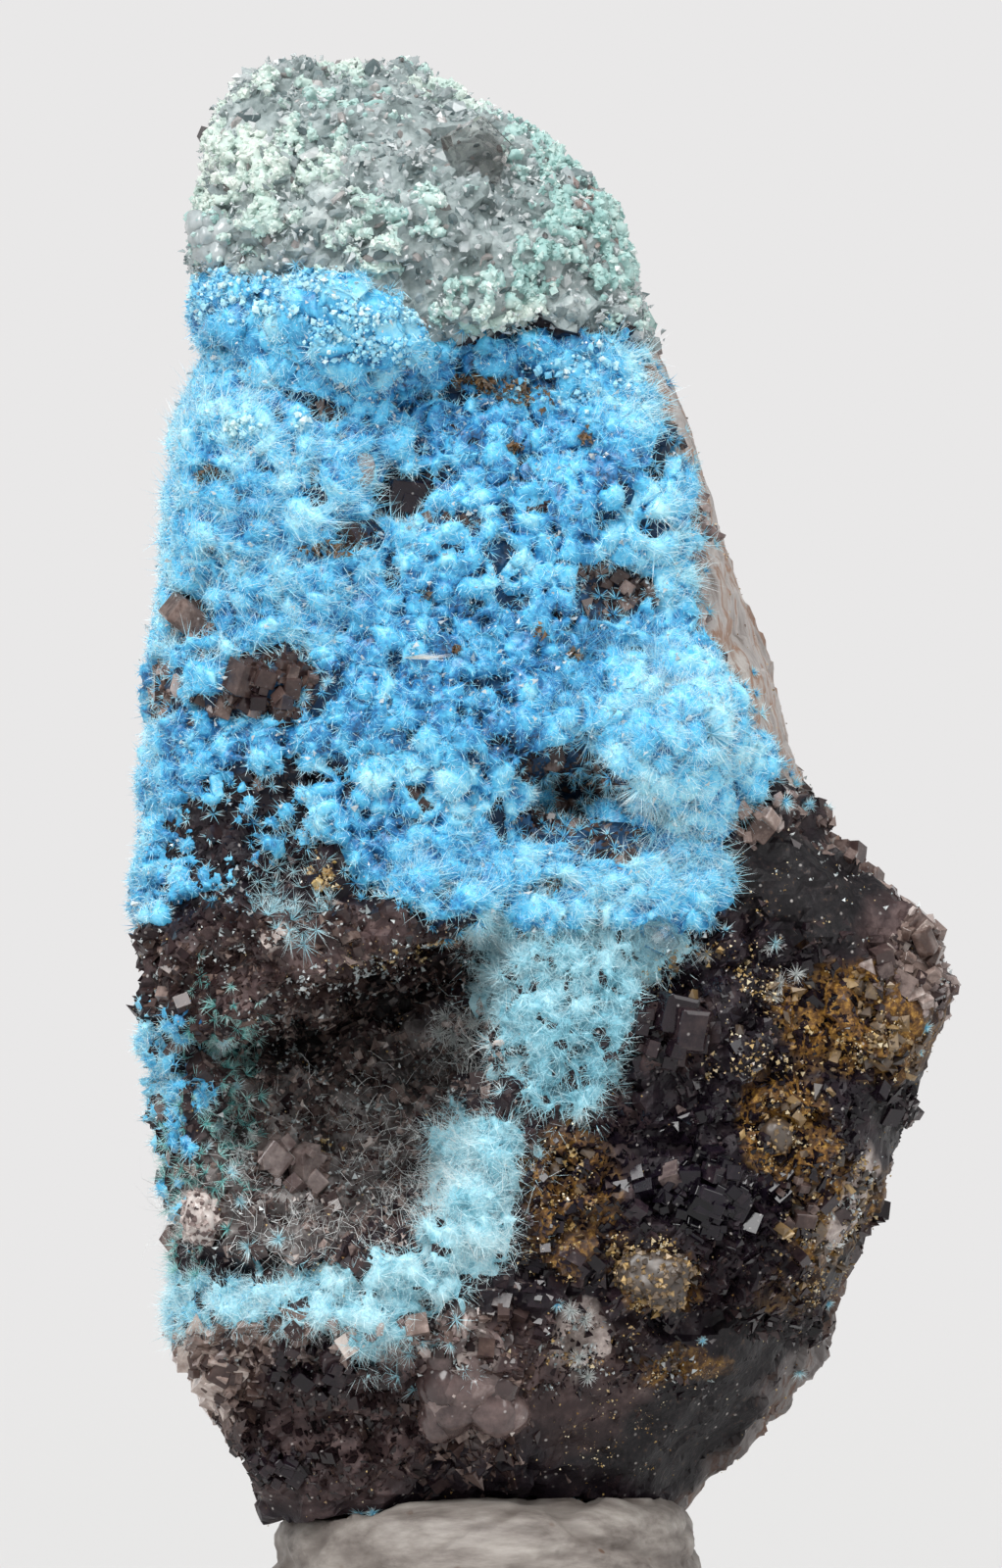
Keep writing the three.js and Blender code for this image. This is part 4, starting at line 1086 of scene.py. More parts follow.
def raise_skin(piece, outside, cover, height, sink=0.14):
    """Lifts the outside by height (mm) where cover is 1, and sinks it into the rock where it is 0."""
    points, normals = read_points(piece.data), read_normals(piece.data)
    lift = -sink + cover * (sink + height)
    write_points(piece.data, points + normals * (lift * outside * MM)[:, None])
    piece.data.shade_smooth()
    print(piece.name, "has", len(piece.data.polygons), "faces")


def cushions(points, spacing, seed):
    """Height from 0 to 1 of crooked cushions about spacing apart, and a number from 0 to 1 for each."""
    draw = np.random.default_rng(seed)
    warp = np.stack([lumps(points, 0.6 * spacing, seed + axis) for axis in range(3)], axis=1)
    points = points + 0.3 * spacing * warp
    seeds = seeds_near(points, spacing, draw)
    owner, away = nearest_of(seeds, points)
    away /= 0.8 * spacing
    return np.sqrt(np.clip(1 - away * away, 0, 1)), draw.random(len(seeds))[owner]


# %% [markdown]
# ## The cap
# The cap is a knob of cloudy quartz grains with a mint-green crust grown over them in ridges
# and little heads, like coral. The quartz is strewn as half-sunk glassy grains. The crust is a
# skin raised where a ridged noise is high, with fine grains on it.

# %% Quartz grains of the cap


def on_cap(points, seed):
    return inside(ragged(points, 9.0, 0.9 * MM, seed), CAP_OUTLINE) * front_share(points, 3.4 * MM)


def sugar_chance(places):
    points = places["points"]
    clumps = smooth_step(-0.1, 0.45, lumps(points, 0.6 * MM, 408))
    return on_cap(points, 407) * (clumps * (1 - patches(pixels_of(points), WINDOW)))


WINDOW = [(478, 165, 34, 30, 0, 1.0)]
sown("cap_quartz_grains", rock_surface, 60000, 401, lambda places: 0.9 * on_cap(places["points"], 403),
     (0.22, 0.6, 2), GRAIN, quartz, (0.5, 0.28), sink=0.15, apart=0.72, stretch=1.0,
     warm_of=lambda places, draw: 0.7 * (draw.random(len(places["points"])) < 0.14))
sown("cap_quartz_sugar", rock_surface, 90000, 405, sugar_chance, (0.05, 0.1, 2), CHIP, quartz,
     (0.85, 0.2), lift=0.34, stretch=1.5)

# %% Green crust


def crust_material(name, stops, warm_colour):
    """A dull, fine-grained crust, darker in its hollows by painted shade, with a warm colour where it is
    stained.
    """
    material, tree = new_material(name)
    powder = noise(tree, 6.0, 3.0)
    place = sum_of(tree, "ADD", attribute(tree, "tone"), swing(tree, powder, 0.5))
    stain = sum_of(tree, "MULTIPLY", attribute(tree, "warm"), 0.4)
    principled(tree, {"Base Color": blend(tree, stain, ramp(tree, place, stops), warm_colour),
                      "Roughness": 0.6, "IOR": 1.55, "Normal": bump(tree, powder, 0.6, 0.05)})
    return material


green_crust = crust_material(
    "mint_green_crust",
    [(0.0, "#64847f"), (0.3, "#96bfbb"), (0.6, "#b6d4cf"), (0.85, "#cfe0da"), (1.0, "#ebf3f0")], "#dfe3d6")
blue_crust = crust_material(
    "sky_blue_crust", [(0.0, "#3f9fd0"), (0.3, "#7ccdee"), (0.6, "#b2e8f6"), (1.0, "#f2fbfa")], "#dcefe6")
BLUE_CRUST = [(370, 336, 60, 36, -12, 1.0), (250, 434, 26, 12, 0, 0.5), (303, 430, 12, 10, 0, 0.5),
              (590, 385, 70, 30, 0, 0.2), (270, 300, 90, 22, 0, 0.3)]
WARM_CRUST = [(350, 66, 60, 22, 0, 0.9), (450, 90, 50, 30, 0, 0.9), (330, 262, 120, 30, 0, 0.7),
              (560, 322, 90, 16, 0, 0.9), (235, 150, 70, 100, 0, 1.0), (310, 200, 70, 60, 0, 0.8)]
TURQUOISE_CRUST = [(600, 240, 70, 70, 0, 1.0), (490, 285, 90, 40, 0, 0.8), (400, 320, 90, 20, 0, 0.6)]


def crust_growth(points):
    """How much crust has grown, from 0 to 1: on ridges and heads, thicker at the lower right."""
    pixels = ragged(points, 8.0, 0.7 * MM, 411)
    ridges = 1 - 4.2 * abs(lumps(points, 0.95 * MM, 412) + 0.5 * lumps(points, 0.36 * MM, 413))
    heads = 2.1 * lumps(points, 0.34 * MM, 414) - 0.3
    bare = smooth_step(0.12, -0.25, lumps(points, 1.5 * MM, 419) + 0.4 * lumps(points, 0.6 * MM, 421))
    more = 0.32 * patches(pixels, TURQUOISE_CRUST + WARM_CRUST, 1.0)
    region = inside(pixels, CAP_OUTLINE, 12) * front_share(points, 3.6 * MM, 3 * MM)
    region *= 1 - patches(pixels, WINDOW)
    return region * np.clip(np.maximum(ridges, heads) + more - 0.1 - 0.9 * bare, 0, 1)


def crust_tone(points, growth):
    pixels = ragged(points, 8.0, 0.7 * MM, 415)
    # Painted light and shade: the crust is paler where it grows thick and high, darker in its hollows.
    return np.clip(0.3 + 0.3 * growth + 0.22 * patches(pixels, WARM_CRUST, 1.0)
                   - 0.08 * patches(pixels, TURQUOISE_CRUST, 1.0) + 0.24 * lumps(points, 1.1 * MM, 416), 0, 1)


cap_skin, outside = fine_skin("green_crust_skin", cap_share, 2)
points = read_points(cap_skin.data)
growth = crust_growth(points)
tone = crust_tone(points, growth)
height = 0.3 * growth * (0.55 + 0.45 * cushions(points, 0.3 * MM, 417)[0])
height += 0.07 * lumps(points, 0.16 * MM, 418)
raise_skin(cap_skin, outside, smooth_step(0.12, 0.42, growth), height)
write_attribute(cap_skin.data, "tone", tone)
warm = patches(ragged(points, 8.0, 0.7 * MM, 420), WARM_CRUST, 1.0)
write_attribute(cap_skin.data, "warm", warm)
cap_skin.data.materials.append(green_crust)
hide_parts("green_crust")
cap_surface = surface_of(cap_skin.data, growth=growth, outside=outside, tone=tone, warm=warm)
sown("green_crust_grains", cap_surface, 34000, 431,
     lambda places: smooth_step(0.2, 0.7, places["growth"]) * (places["outside"] > 0.9),
     (0.07, 0.16, 2), BEAD, green_crust, (lambda places: places["tone"] + 0.08, 0.2),
     warm_of=lambda places, draw: places["warm"])

# %% [markdown]
# ## Cyanotrichite needles
# Cyanotrichite grows as silky blue needles in little cushions, which crowd together into a coat.
# A needle is nearly colourless against the light and a tuft is azure where many lie behind
# each other. The material reads two attributes: how far along its needle a point is, and how pale
# it is. Real needles are about 0.01 mm thick, too thin to show here, so they are drawn thicker.

# %% The needles' material


def needle_material(name, stops, shine):
    """Silky needles, deep at the root and pale at the tip: the deep roots are painted shade and the
    near-white tips painted highlights. Pale tufts start further up the stops.
    """
    material, tree = new_material(name)
    along, tone = attribute(tree, "along"), attribute(tree, "tone")
    place = sum_of(tree, "ADD", sum_of(tree, "MULTIPLY", along, 0.5), sum_of(tree, "MULTIPLY", tone, 0.62))
    place = sum_of(tree, "ADD", place, swing(tree, noise(tree, 7.0, 3.0, 0.7), 0.5))
    principled(tree, {"Base Color": ramp(tree, place, stops), "Roughness": shine, "IOR": 1.6,
                      "Sheen Weight": 0.3, "Sheen Roughness": 0.4, "Sheen Tint": "#cfeaf7"})
    return material


# Each ramp runs from a dark root to a near-white tip: painted shade at the roots, painted highlights at the
# tips.
blue_needles = needle_material(
    "silky_azure_needles",
    [(0.0, "#082642"), (0.14, "#1474b0"), (0.36, "#56c2ec"), (0.62, "#aeeaf8"), (1.0, "#fbffff")], 0.4)
aqua_needles = needle_material(
    "silky_aqua_needles",
    [(0.0, "#2f6d7e"), (0.25, "#7cbccd"), (0.5, "#b4e4ef"), (0.8, "#e0f8fc"), (1.0, "#fbffff")], 0.4)
white_needles = needle_material(
    "silky_white_hairs", [(0.0, "#77807f"), (0.5, "#c3c9c7"), (1.0, "#fcfdfb")], 0.35)
green_needles = needle_material(
    "silky_teal_needles", [(0.0, "#174a4d"), (0.3, "#3f9a98"), (0.6, "#8fd0cb"), (1.0, "#e6f7f2")], 0.4)
print("four kinds of needles:", [m.name for m in (blue_needles, aqua_needles, white_needles, green_needles)])

# %% [markdown]
# The blue coat is a skin of cushions 0.4 to 0.9 mm wide, with short needles all over it. Skin
# and needles are painted deep blue in the creases and pale on the crests: painted shade and
# light. A needle starts on the skin and leans away from the skin's normal by a random angle,
# so on a cushion the needles radiate like a pompom's.

# %% The coat's regions


def blue_cover(points):
    pixels = ragged(points, 8.0, 0.7 * MM, 41)
    share = inside(pixels, BLUE_OUTLINE, 22) * front_share(points)
    share *= 1 - 1.1 * patches(pixels, BARE_IN_BLUE, 0.8)
    share *= 1 - inside(pixels, SLAB_OUTLINE, 8)
    share *= 1 - 0.55 * patches(pixels, SPARSE_IN_BLUE, 0.8) * (lumps(points, 0.7 * MM, 46) > -0.1)
    share -= 0.9 * smooth_step(0.42, 0.75, lumps(points, 0.8 * MM, 45))
    return np.clip(share + 0.22 * lumps(points, 0.35 * MM, 47) * (share > 0.02), 0, 1)


def blue_tone(points):
    pixels = ragged(points, 7.0, 0.7 * MM, 42)
    # Partly painted shade and light: the deep patches darken the hollow under the shoulder, and the pale ones
    # lighten its lumps.
    tone = 0.42 + 0.35 * patches(pixels, PALE_BLUE_AND_LIT, 1.0) - 0.3 * patches(pixels, DEEP_BLUE_AND_SHADE, 1.0)
    tone += 0.08 * smooth_step(560, 640, pixels[:, 0])
    return np.clip(tone + 0.2 * lumps(points, 1.6 * MM, 43) + 0.15 * lumps(points, 0.6 * MM, 44), 0, 1)


def blue_gaps(points):
    """How far apart the cushions stand, from 0 to 1."""
    pixels = ragged(points, 9.0, 0.8 * MM, 48)
    gaps = 0.36 - 0.3 * patches(pixels, PALE_BLUE_AND_LIT, 1.0) + 0.46 * patches(pixels, SPARSE_IN_BLUE, 1.0)
    gaps -= 0.2 * smooth_step(560, 640, pixels[:, 0])
    return np.clip(gaps + 0.2 * lumps(points, 1.5 * MM, 49), 0, 1)


def coat_skin(name, share, cover_of, tone_of, gaps_of, heights, material, seed, cuts=1, bulge_of=None):
    """A skin of cushions with its surface for strewing. heights is for wide cushions, small ones, grit."""
    piece, outside = fine_skin(name, share, cuts)
    points = read_points(piece.data)
    wide, wide_tone = cushions(points, 0.85 * MM, seed)
    small, small_tone = cushions(points, 0.42 * MM, seed + 1)
    height = heights[0] * wide + heights[1] * small + heights[2] * lumps(points, 0.2 * MM, seed + 2)
    if bulge_of is not None:
        height += bulge_of(points)
    crest = 0.45 * wide + 0.55 * small
    cover = cover_of(points) * smooth_step(0, 0.25, crest - 0.8 * gaps_of(points) + 0.05)
    tone = np.clip(tone_of(points) + 0.35 * (wide_tone - 0.5) + 0.55 * (small_tone - 0.5), 0, 1)
    raise_skin(piece, outside, smooth_step(0.15, 0.75, cover), height)
    # Painted light and shade: the skin's tone and along rise on the crests and fall in the creases.
    write_attribute(piece.data, "tone", np.clip(tone * 0.6 + 0.6 * (crest - 0.65), 0, 1))
    write_attribute(piece.data, "along", 0.35 * crest)
    piece.data.materials.append(material)
    return piece, surface_of(piece.data, cover=cover, tone=tone, crest=crest, outside=outside)


def leaning(normals, spread, draw):
    """Directions that lean from the normals by up to spread degrees."""
    count = len(normals)
    lean = np.radians(spread) * np.sqrt(draw.random(count))
    around = draw.random(count) * 2 * np.pi
    local = np.stack([np.sin(lean) * np.cos(around), np.sin(lean) * np.sin(around), np.cos(lean)], axis=1)
    return np.einsum("nij,nj->ni", upright_axes(normals, 1.0, 1.0, draw), local)


def fibres(name, surface, strewn, number, seed, length, thickness, spread, material,
           comb=None, weight_of=None, edge=(0.2, 0.6)):
    """Single needles all over a skin. Length (least, most) and thickness (root radius) are in mm."""
    draw = np.random.default_rng(seed)
    places = strew(surface, strewn, seed + 1)
    weight = smooth_step(*edge, places["cover"]) * (places["outside"] > 0.9)
    if weight_of is not None:
        weight = weight * weight_of(places["points"])
    weight = weight * (0.12 + 0.88 * places["crest"] ** 1.5)
    places = only(places, np.flatnonzero(draw.random(strewn) < weight)[:number])
    count = len(places["points"])
    direction = leaning(places["normals"], spread, draw) + (0 if comb is None else comb)
    lengths = (length[0] + (length[1] - length[0]) * draw.random(count) ** 1.5) * MM
    thick = thickness * MM * (0.7 + 0.6 * draw.random(count))
    # Painted light and shade: needles on the crests are paler, those in the creases darker.
    tone = 0.22 + places["tone"] * 0.6 + 0.6 * (places["crest"] - 0.55) + 0.2 * draw.normal(size=count)
    return joined_copies(name, NEEDLE, places["points"] - places["normals"] * 0.02 * MM,
                         upright_axes(direction, lengths, thick, draw), material,
                         {"tone": np.clip(tone, 0, 1)}, "along")


# %% The blue coat
SHOULDER = [(355, 330, 76, 34, -8, 1.0), (250, 320, 50, 30, 0, 0.6), (215, 430, 30, 20, 0, 0.3)]
coat, coat_surface = coat_skin("blue_coat_cushions", blue_share, blue_cover, blue_tone, blue_gaps,
                               (0.3, 0.26, 0.08), blue_needles, 71,
                               bulge_of=lambda points: patches(pixels_of(points), SHOULDER, 1.0)
                               * (0.45 + 0.4 * lumps(points, 0.75 * MM, 74)))
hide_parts("cyanotrichite_mat")
for name, top, bottom, count, seed in (
    ("blue_needles_upper", 0, 600, 28000, 120), ("blue_needles_lower", 600, 1100, 35000, 122),
):
    fibres(name, coat_surface, 320000, count, seed, (0.14, 0.46), 0.0145, 85, blue_needles,
           weight_of=lambda points: (pixels_of(points)[:, 1] >= top) * (pixels_of(points)[:, 1] < bottom)
           * (1 - 0.9 * patches(pixels_of(points), BLUE_CRUST[:3], 0.6)))
FELT = [(290, 520, 120, 95, 0, 1.0), (230, 430, 60, 50, 0, 0.7), (250, 650, 80, 50, 0, 0.8),
        (640, 400, 50, 60, 0, 0.5), (690, 560, 26, 60, 0, 0.6), (350, 600, 60, 40, 0, 0.6),
        (630, 885, 120, 50, 0, 0.8), (470, 890, 90, 40, 0, 0.5)]
fibres("combed_blue_hairs", coat_surface, 140000, 9000, 151, (0.45, 1.1), 0.012, 60, blue_needles,
       comb=np.array((0.7, -0.1, 0.25)),
       weight_of=lambda points: patches(pixels_of(points), FELT, 0.8))

# %% [markdown]
# The shoulder under the cap and a few clots are not needles but a sky-blue crust of fine grains.

# %% Sky-blue crust
clots = strew(coat_surface, 260000, 441)
more = strew(cap_surface, 60000, 444)
clots = {key: np.concatenate([clots[key], more[key]]) for key in ("points", "normals", "outside")}
clot_draw = np.random.default_rng(442)
weight = patches(ragged(clots["points"], 9.0, 0.6 * MM, 421), BLUE_CRUST, 0.7) * (clots["outside"] > 0.9)
weight *= smooth_step(-0.5, 0.3, lumps(clots["points"], 0.5 * MM, 422))
clots = only(clots, clot_draw.random(len(weight)) < weight)
size = (0.06 + 0.17 * clot_draw.random(len(clots["points"])) ** 2) * MM
height = 0.26 * MM * clot_draw.random(len(size)) * cushions(clots["points"], 0.6 * MM, 443)[0]
sides = size[:, None] * (0.9 + 0.8 * clot_draw.random((len(size), 3)))
pale = patches(pixels_of(clots["points"]), BLUE_CRUST[1:3], 0.5)
# Painted light and shade: a grain is paler the higher it stands on the skin.
joined_copies(
    "blue_crust_grains", BEAD, clots["points"] + clots["normals"] * height[:, None],
    tumbled_axes(sides, clot_draw), blue_crust,
    {"tone": np.clip(0.32 + 0.3 * pale + 1.4 * height / MM + 0.2 * clot_draw.normal(size=len(size)), 0, 1),
     "warm": np.clip(pale + smooth_step(0.2, 0.5, lumps(clots["points"], 0.8 * MM, 445)), 0, 1)},
)

# %% [markdown]
# The coat has white specks: partly painted highlights standing in for its glints, partly ends of needle
# bundles and grains of dust.

# %% White specks on the coat
sown("coat_specks", coat_surface, 16000, 451,
     lambda places: 0.3 * (places["outside"] > 0.9) * (places["cover"] > 0.3),
     (0.03, 0.09, 3), CHIP, quartz, (0.8, 0.2), lift=0.25, stretch=1.5, even_tones=True)

# %% [markdown]
# Rust specks lie on the coat, thickest in a stained patch under the cap.

# %% Rust specks
RUST = [(490, 390, 26, 9, -10, 1.0), (530, 402, 34, 14, -15, 0.35), (523, 458, 7, 6, 0, 1.0),
        (598, 445, 6, 7, 0, 1.0), (551, 645, 6, 5, 0, 1.0), (433, 611, 5, 5, 0, 1.0),
        (585, 672, 7, 5, 0, 1.0), (604, 797, 9, 5, 0, 1.0), (466, 665, 5, 5, 0, 1.0),
        (562, 905, 10, 5, 0, 1.0), (215, 480, 16, 6, 0, 0.4), (340, 560, 30, 10, 0, 0.3)]
sown("rust_specks", coat_surface, 160000, 461,
     lambda places: patches(pixels_of(places["points"]), RUST, 0.6) * front_share(places["points"], 2 * MM),
     (0.06, 0.1, 1), CHIP, limonite, (0.0, 0.3), lift=0.3, stretch=1.4, even_tones=True)

# %% [markdown]
# At the right the needles grow three times as long and splay out of tufts over dark hollows.
# A tuft is a root with a number of needles that point away from it. Where the coat thins out,
# small stray tufts stand on the bare rock.

# %% Growing tufts


def tufts(name, places, normals, radius, tone, per_tuft, material, seed,
          spread=80.0, thickness=0.013, start=0.15):
    """Needles for every tuft, joined in one piece. Thickness is the root's radius in mm."""
    draw = np.random.default_rng(seed)
    owner = np.repeat(np.arange(len(places)), per_tuft)
    count = len(owner)
    direction = leaning(normals[owner], spread, draw)
    length = radius[owner] * (0.6 + 0.6 * draw.random(count))
    roots = places[owner] + direction * (radius[owner] * start * draw.random(count))[:, None]
    thick = thickness * MM * (0.7 + 0.6 * draw.random(count))
    tones = np.clip(tone[owner] + 0.18 * draw.normal(size=count), 0, 1)
    return joined_copies(name, NEEDLE, roots, upright_axes(direction, length, thick, draw), material,
                         {"tone": tones}, "along")


def pick_tufts(surface, weight_of, count, seed, spacing):
    """Places and normals of tufts, dense where the weight is high."""
    places = strew(surface, count, seed)
    draw = np.random.default_rng(seed + 1)
    places = only(places, draw.random(count) < weight_of(places["points"]))
    kept = spread_out(places["points"], spacing)
    return places["points"][kept], places["normals"][kept]


SPRAY_OUTLINE = [(565, 668), (610, 640), (676, 650), (716, 705), (764, 780), (755, 812), (732, 856),
                 (700, 905), (655, 885), (662, 830), (640, 780), (590, 750), (562, 712)]
spray_points, spray_normals = pick_tufts(
    rock_surface, lambda points: inside(ragged(points, 8.0, 0.8 * MM, 51), SPRAY_OUTLINE)
    * front_share(points, 2.0 * MM) * (1 - 0.8 * patches(pixels_of(points), BARE_IN_BLUE, 0.3)),
    30000, 141, 0.5 * MM)
tuft_draw = np.random.default_rng(143)
spray = tufts(
    "long_needle_spray", spray_points, spray_normals + np.array((-0.3, -0.5, 0)),
    (0.75 + 0.4 * tuft_draw.random(len(spray_points))) * MM,
    np.clip(blue_tone(spray_points) - 0.18 + 0.35 * tuft_draw.random(len(spray_points)), 0, 1),
    110, blue_needles, 144, spread=72)
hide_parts("long_needle_tuft")


def stray_weight(points):
    """Highest where the coat is thin."""
    cover = blue_cover(points)
    near = inside(ragged(points, 8.0, 0.7 * MM, 61), BLUE_OUTLINE, 60) * front_share(points, 1.6 * MM)
    return 0.5 * near * smooth_step(0.7, 0.1, cover)


stray_points, stray_normals = pick_tufts(rock_surface, stray_weight, 60000, 146, 0.38 * MM)
tufts("stray_blue_tufts", stray_points, stray_normals,
      (0.18 + 0.26 * tuft_draw.random(len(stray_points))) * MM,
      0.25 + 0.65 * tuft_draw.random(len(stray_points)), 22, blue_needles, 148,
      thickness=0.016, start=0.3)

# %% [markdown]
# The aqua patches below are the same mineral in finer hair, so fine that it looks like cotton
# wool. It is drawn with longer and thinner needles that lie every way over a soft pale skin.
# On the left edge beside the hollow, short needles go from sky blue to green.

# %% Aqua cotton and the left edge
COLUMN = [(560, 1030, 100, 130, 0, 1.0)]


def cotton_cover(points, outline):
    share = inside(ragged(points, 11.0, 0.8 * MM, 55), outline, 54) * front_share(points, 1.5 * MM)
    return np.clip(share + 0.25 * lumps(points, 0.45 * MM, 56) * (share > 0.02), 0, 1)


def cotton_tone(points):
    tone = 0.72 - 0.36 * patches(pixels_of(points), COLUMN, 1.0) + 0.25 * lumps(points, 1.2 * MM, 171)
    return np.clip(tone + 0.2 * lumps(points, 0.5 * MM, 173), 0, 1)


def cotton_gaps(points):
    gaps = 0.2 + 0.4 * patches(pixels_of(points), COLUMN, 1.0)
    return np.clip(gaps + 0.4 * lumps(points, 0.8 * MM, 174), 0, 1)


for number, (region, node) in enumerate((("upper", "aqua_tuft"), ("band", "aqua_band"))):
    cover_of = lambda points: cotton_cover(points, AQUA_OUTLINES[region])
    cotton, surface = coat_skin(
        "aqua_" + region + "_skin", cover_of(rock_points), cover_of, cotton_tone, cotton_gaps,
        (0.1, 0.07, 0.07), aqua_needles, 81 + 10 * number)
    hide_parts(node)
    fibres("aqua_" + region + "_cotton", surface, 160000, 14000, 160 + 4 * number, (0.3, 0.85), 0.011, 88,
           aqua_needles, edge=(0.0, 0.4))
fibres("blue_hairs_of_the_band", surface, 60000, 5200, 175, (0.2, 0.5), 0.013, 85, blue_needles,
       weight_of=lambda points: smooth_step(360, 250, pixels_of(points)[:, 0]),
       edge=(0.1, 0.4))


def edge_cover(points):
    share = inside(ragged(points, 12.0, 0.8 * MM, 57), EDGE_OUTLINE, 34) * front_share(points)
    share -= 0.4 * smooth_step(1130, 1200, pixels_of(points)[:, 1])
    return np.clip(share - 0.9 * smooth_step(-0.15, 0.25, lumps(points, 0.7 * MM, 58)), 0, 1)


edge, surface = coat_skin(
    "left_edge_cushions", edge_cover(rock_points), edge_cover,
    lambda points: np.clip(0.42 + 0.4 * lumps(points, 1.0 * MM, 172), 0, 1),
    lambda points: np.full(len(points), 0.85), (0.1, 0.18, 0.04), blue_needles, 101)
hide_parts("left_edge_mat")
fibres("left_edge_needles", surface, 60000, 5000, 181, (0.18, 0.5), 0.013, 85, blue_needles)
WISPS = [(430, 1375, 50, 40, 0, 0.6), (560, 955, 50, 30, 0, 0.9), (520, 1080, 16, 50, 0, 0.7)]
wisp_points, wisp_normals = pick_tufts(
    rock_surface, lambda points: np.maximum(
        inside(ragged(points, 10.0, 0.8 * MM, 62), AQUA_OUTLINES["wisps"], 30),
        0.4 * patches(pixels_of(points), WISPS, 1.0)) * front_share(points, 2.0 * MM),
    40000, 184, 0.34 * MM)
tufts("aqua_wisps", wisp_points, wisp_normals, (0.35 + 0.4 * tuft_draw.random(len(wisp_points))) * MM,
      0.35 + 0.5 * tuft_draw.random(len(wisp_points)), 22, aqua_needles, 186, spread=85,
      thickness=0.01)
TEAL = [(215, 1130, 44, 130, -6, 0.55), (190, 1260, 30, 40, 0, 0.4)]
teal_points, teal_normals = pick_tufts(
    rock_surface, lambda points: patches(ragged(points, 10.0, 0.8 * MM, 63), TEAL, 0.8)
    * front_share(points, 2.0 * MM), 40000, 188, 0.3 * MM)
tufts("teal_tufts", teal_points, teal_normals, (0.22 + 0.32 * tuft_draw.random(len(teal_points))) * MM,
      0.3 + 0.6 * tuft_draw.random(len(teal_points)), 20, green_needles, 189, thickness=0.014)

# %% [markdown]
# Single tufts sit apart from the coat: white ones on the dark rock at the right, small blue balls
# on bare crystals, and green ones in the hollow. Their places are listed in pixels, and a ray from
# the front finds the rock there.

# %% Single tufts
rock_tree = BVHTree.FromPolygons(
    [Vector(p) for p in rock_points.tolist()], rock_surface["triangles"].tolist())


def on_front(pixel_x, pixel_y):
    """The rock's point and normal under a pixel."""
    x, z = place_of(pixel_x, pixel_y)
    hit, normal, _, _ = rock_tree.ray_cast(Vector((x, -40 * MM, z)), Vector((0, 1, 0)))
    return np.array(hit), np.array(normal)


SINGLE_TUFTS = {
    "white_tufts": (white_needles, "aqua_needles", [
        (720, 973, 0.4), (783, 968, 0.3), (795, 1005, 0.45), (812, 994, 0.36), (788, 1016, 0.36),
        (252, 1160, 0.4), (244, 1176, 0.36), (455, 1040, 0.5), (470, 1034, 0.5), (484, 1046, 0.55),
        (462, 1056, 0.55), (478, 1066, 0.55), (448, 1056, 0.4), (496, 1058, 0.5),
        (590, 1385, 0.4), (600, 1405, 0.36), (582, 1335, 0.4), (596, 1345, 0.4), (405, 545, 0.5)]),
    "blue_tufts": (blue_needles, "blue_needles", [
        (310, 713, 0.36), (335, 697, 0.3), (235, 765, 0.36), (437, 520, 0.4), (725, 940, 0.4),
        (703, 935, 0.46), (712, 905, 0.5), (940, 1075, 0.2), (717, 1370, 0.2), (850, 1340, 0.25),
        (568, 1328, 0.3), (366, 1548, 0.4), (380, 1546, 0.34), (588, 1537, 0.34), (945, 1050, 0.3),
        (575, 945, 0.5), (480, 950, 0.45), (800, 818, 0.4), (828, 822, 0.3), (815, 800, 0.36)]),
    "green_tufts": (aqua_needles, "aqua_needles", [
        (205, 1130, 0.4), (222, 1150, 0.45), (236, 1196, 0.4), (210, 1170, 0.36), (246, 1225, 0.4),
        (228, 1060, 0.5), (215, 1085, 0.42), (240, 1110, 0.36), (820, 1410, 0.3), (255, 1270, 0.5),
        (285, 1262, 0.45), (820, 830, 0.36), (845, 826, 0.3), (790, 962, 0.36)]),
}
for number, (name, (material, slot, listed)) in enumerate(SINGLE_TUFTS.items()):
    places, normals = (np.array(values) for values in zip(*(on_front(x, y) for x, y, _ in listed)))
    normals = normals + np.array((0, -0.8, 0.1))
    normals /= np.linalg.norm(normals, axis=1)[:, None]
    radius = np.array([size for _, _, size in listed]) * MM
    tufts(name, places, normals, radius, np.full(len(places), 0.75), 70, material, 220 + number,
          spread=85)
bundle = [on_front(x, 672) for x in range(412, 428, 2)]
tufts("white_fibre_bundle", np.array([place + (0, -0.5 * MM, 0) for place, _ in bundle]),
      np.tile((1.0, -0.25, 0.04), (len(bundle), 1)), np.full(len(bundle), 0.9 * MM),
      np.full(len(bundle), 0.8), 8, white_needles, 230, spread=9, thickness=0.012)

# %% [markdown]
# The hollow is hung with hairs so fine that they curl, like a cobweb. A hair is a chain of
# short three-sided lengths that ends in a point, bent along a slow random spiral.

# %% Curled hairs
HAIR_STEPS = 3


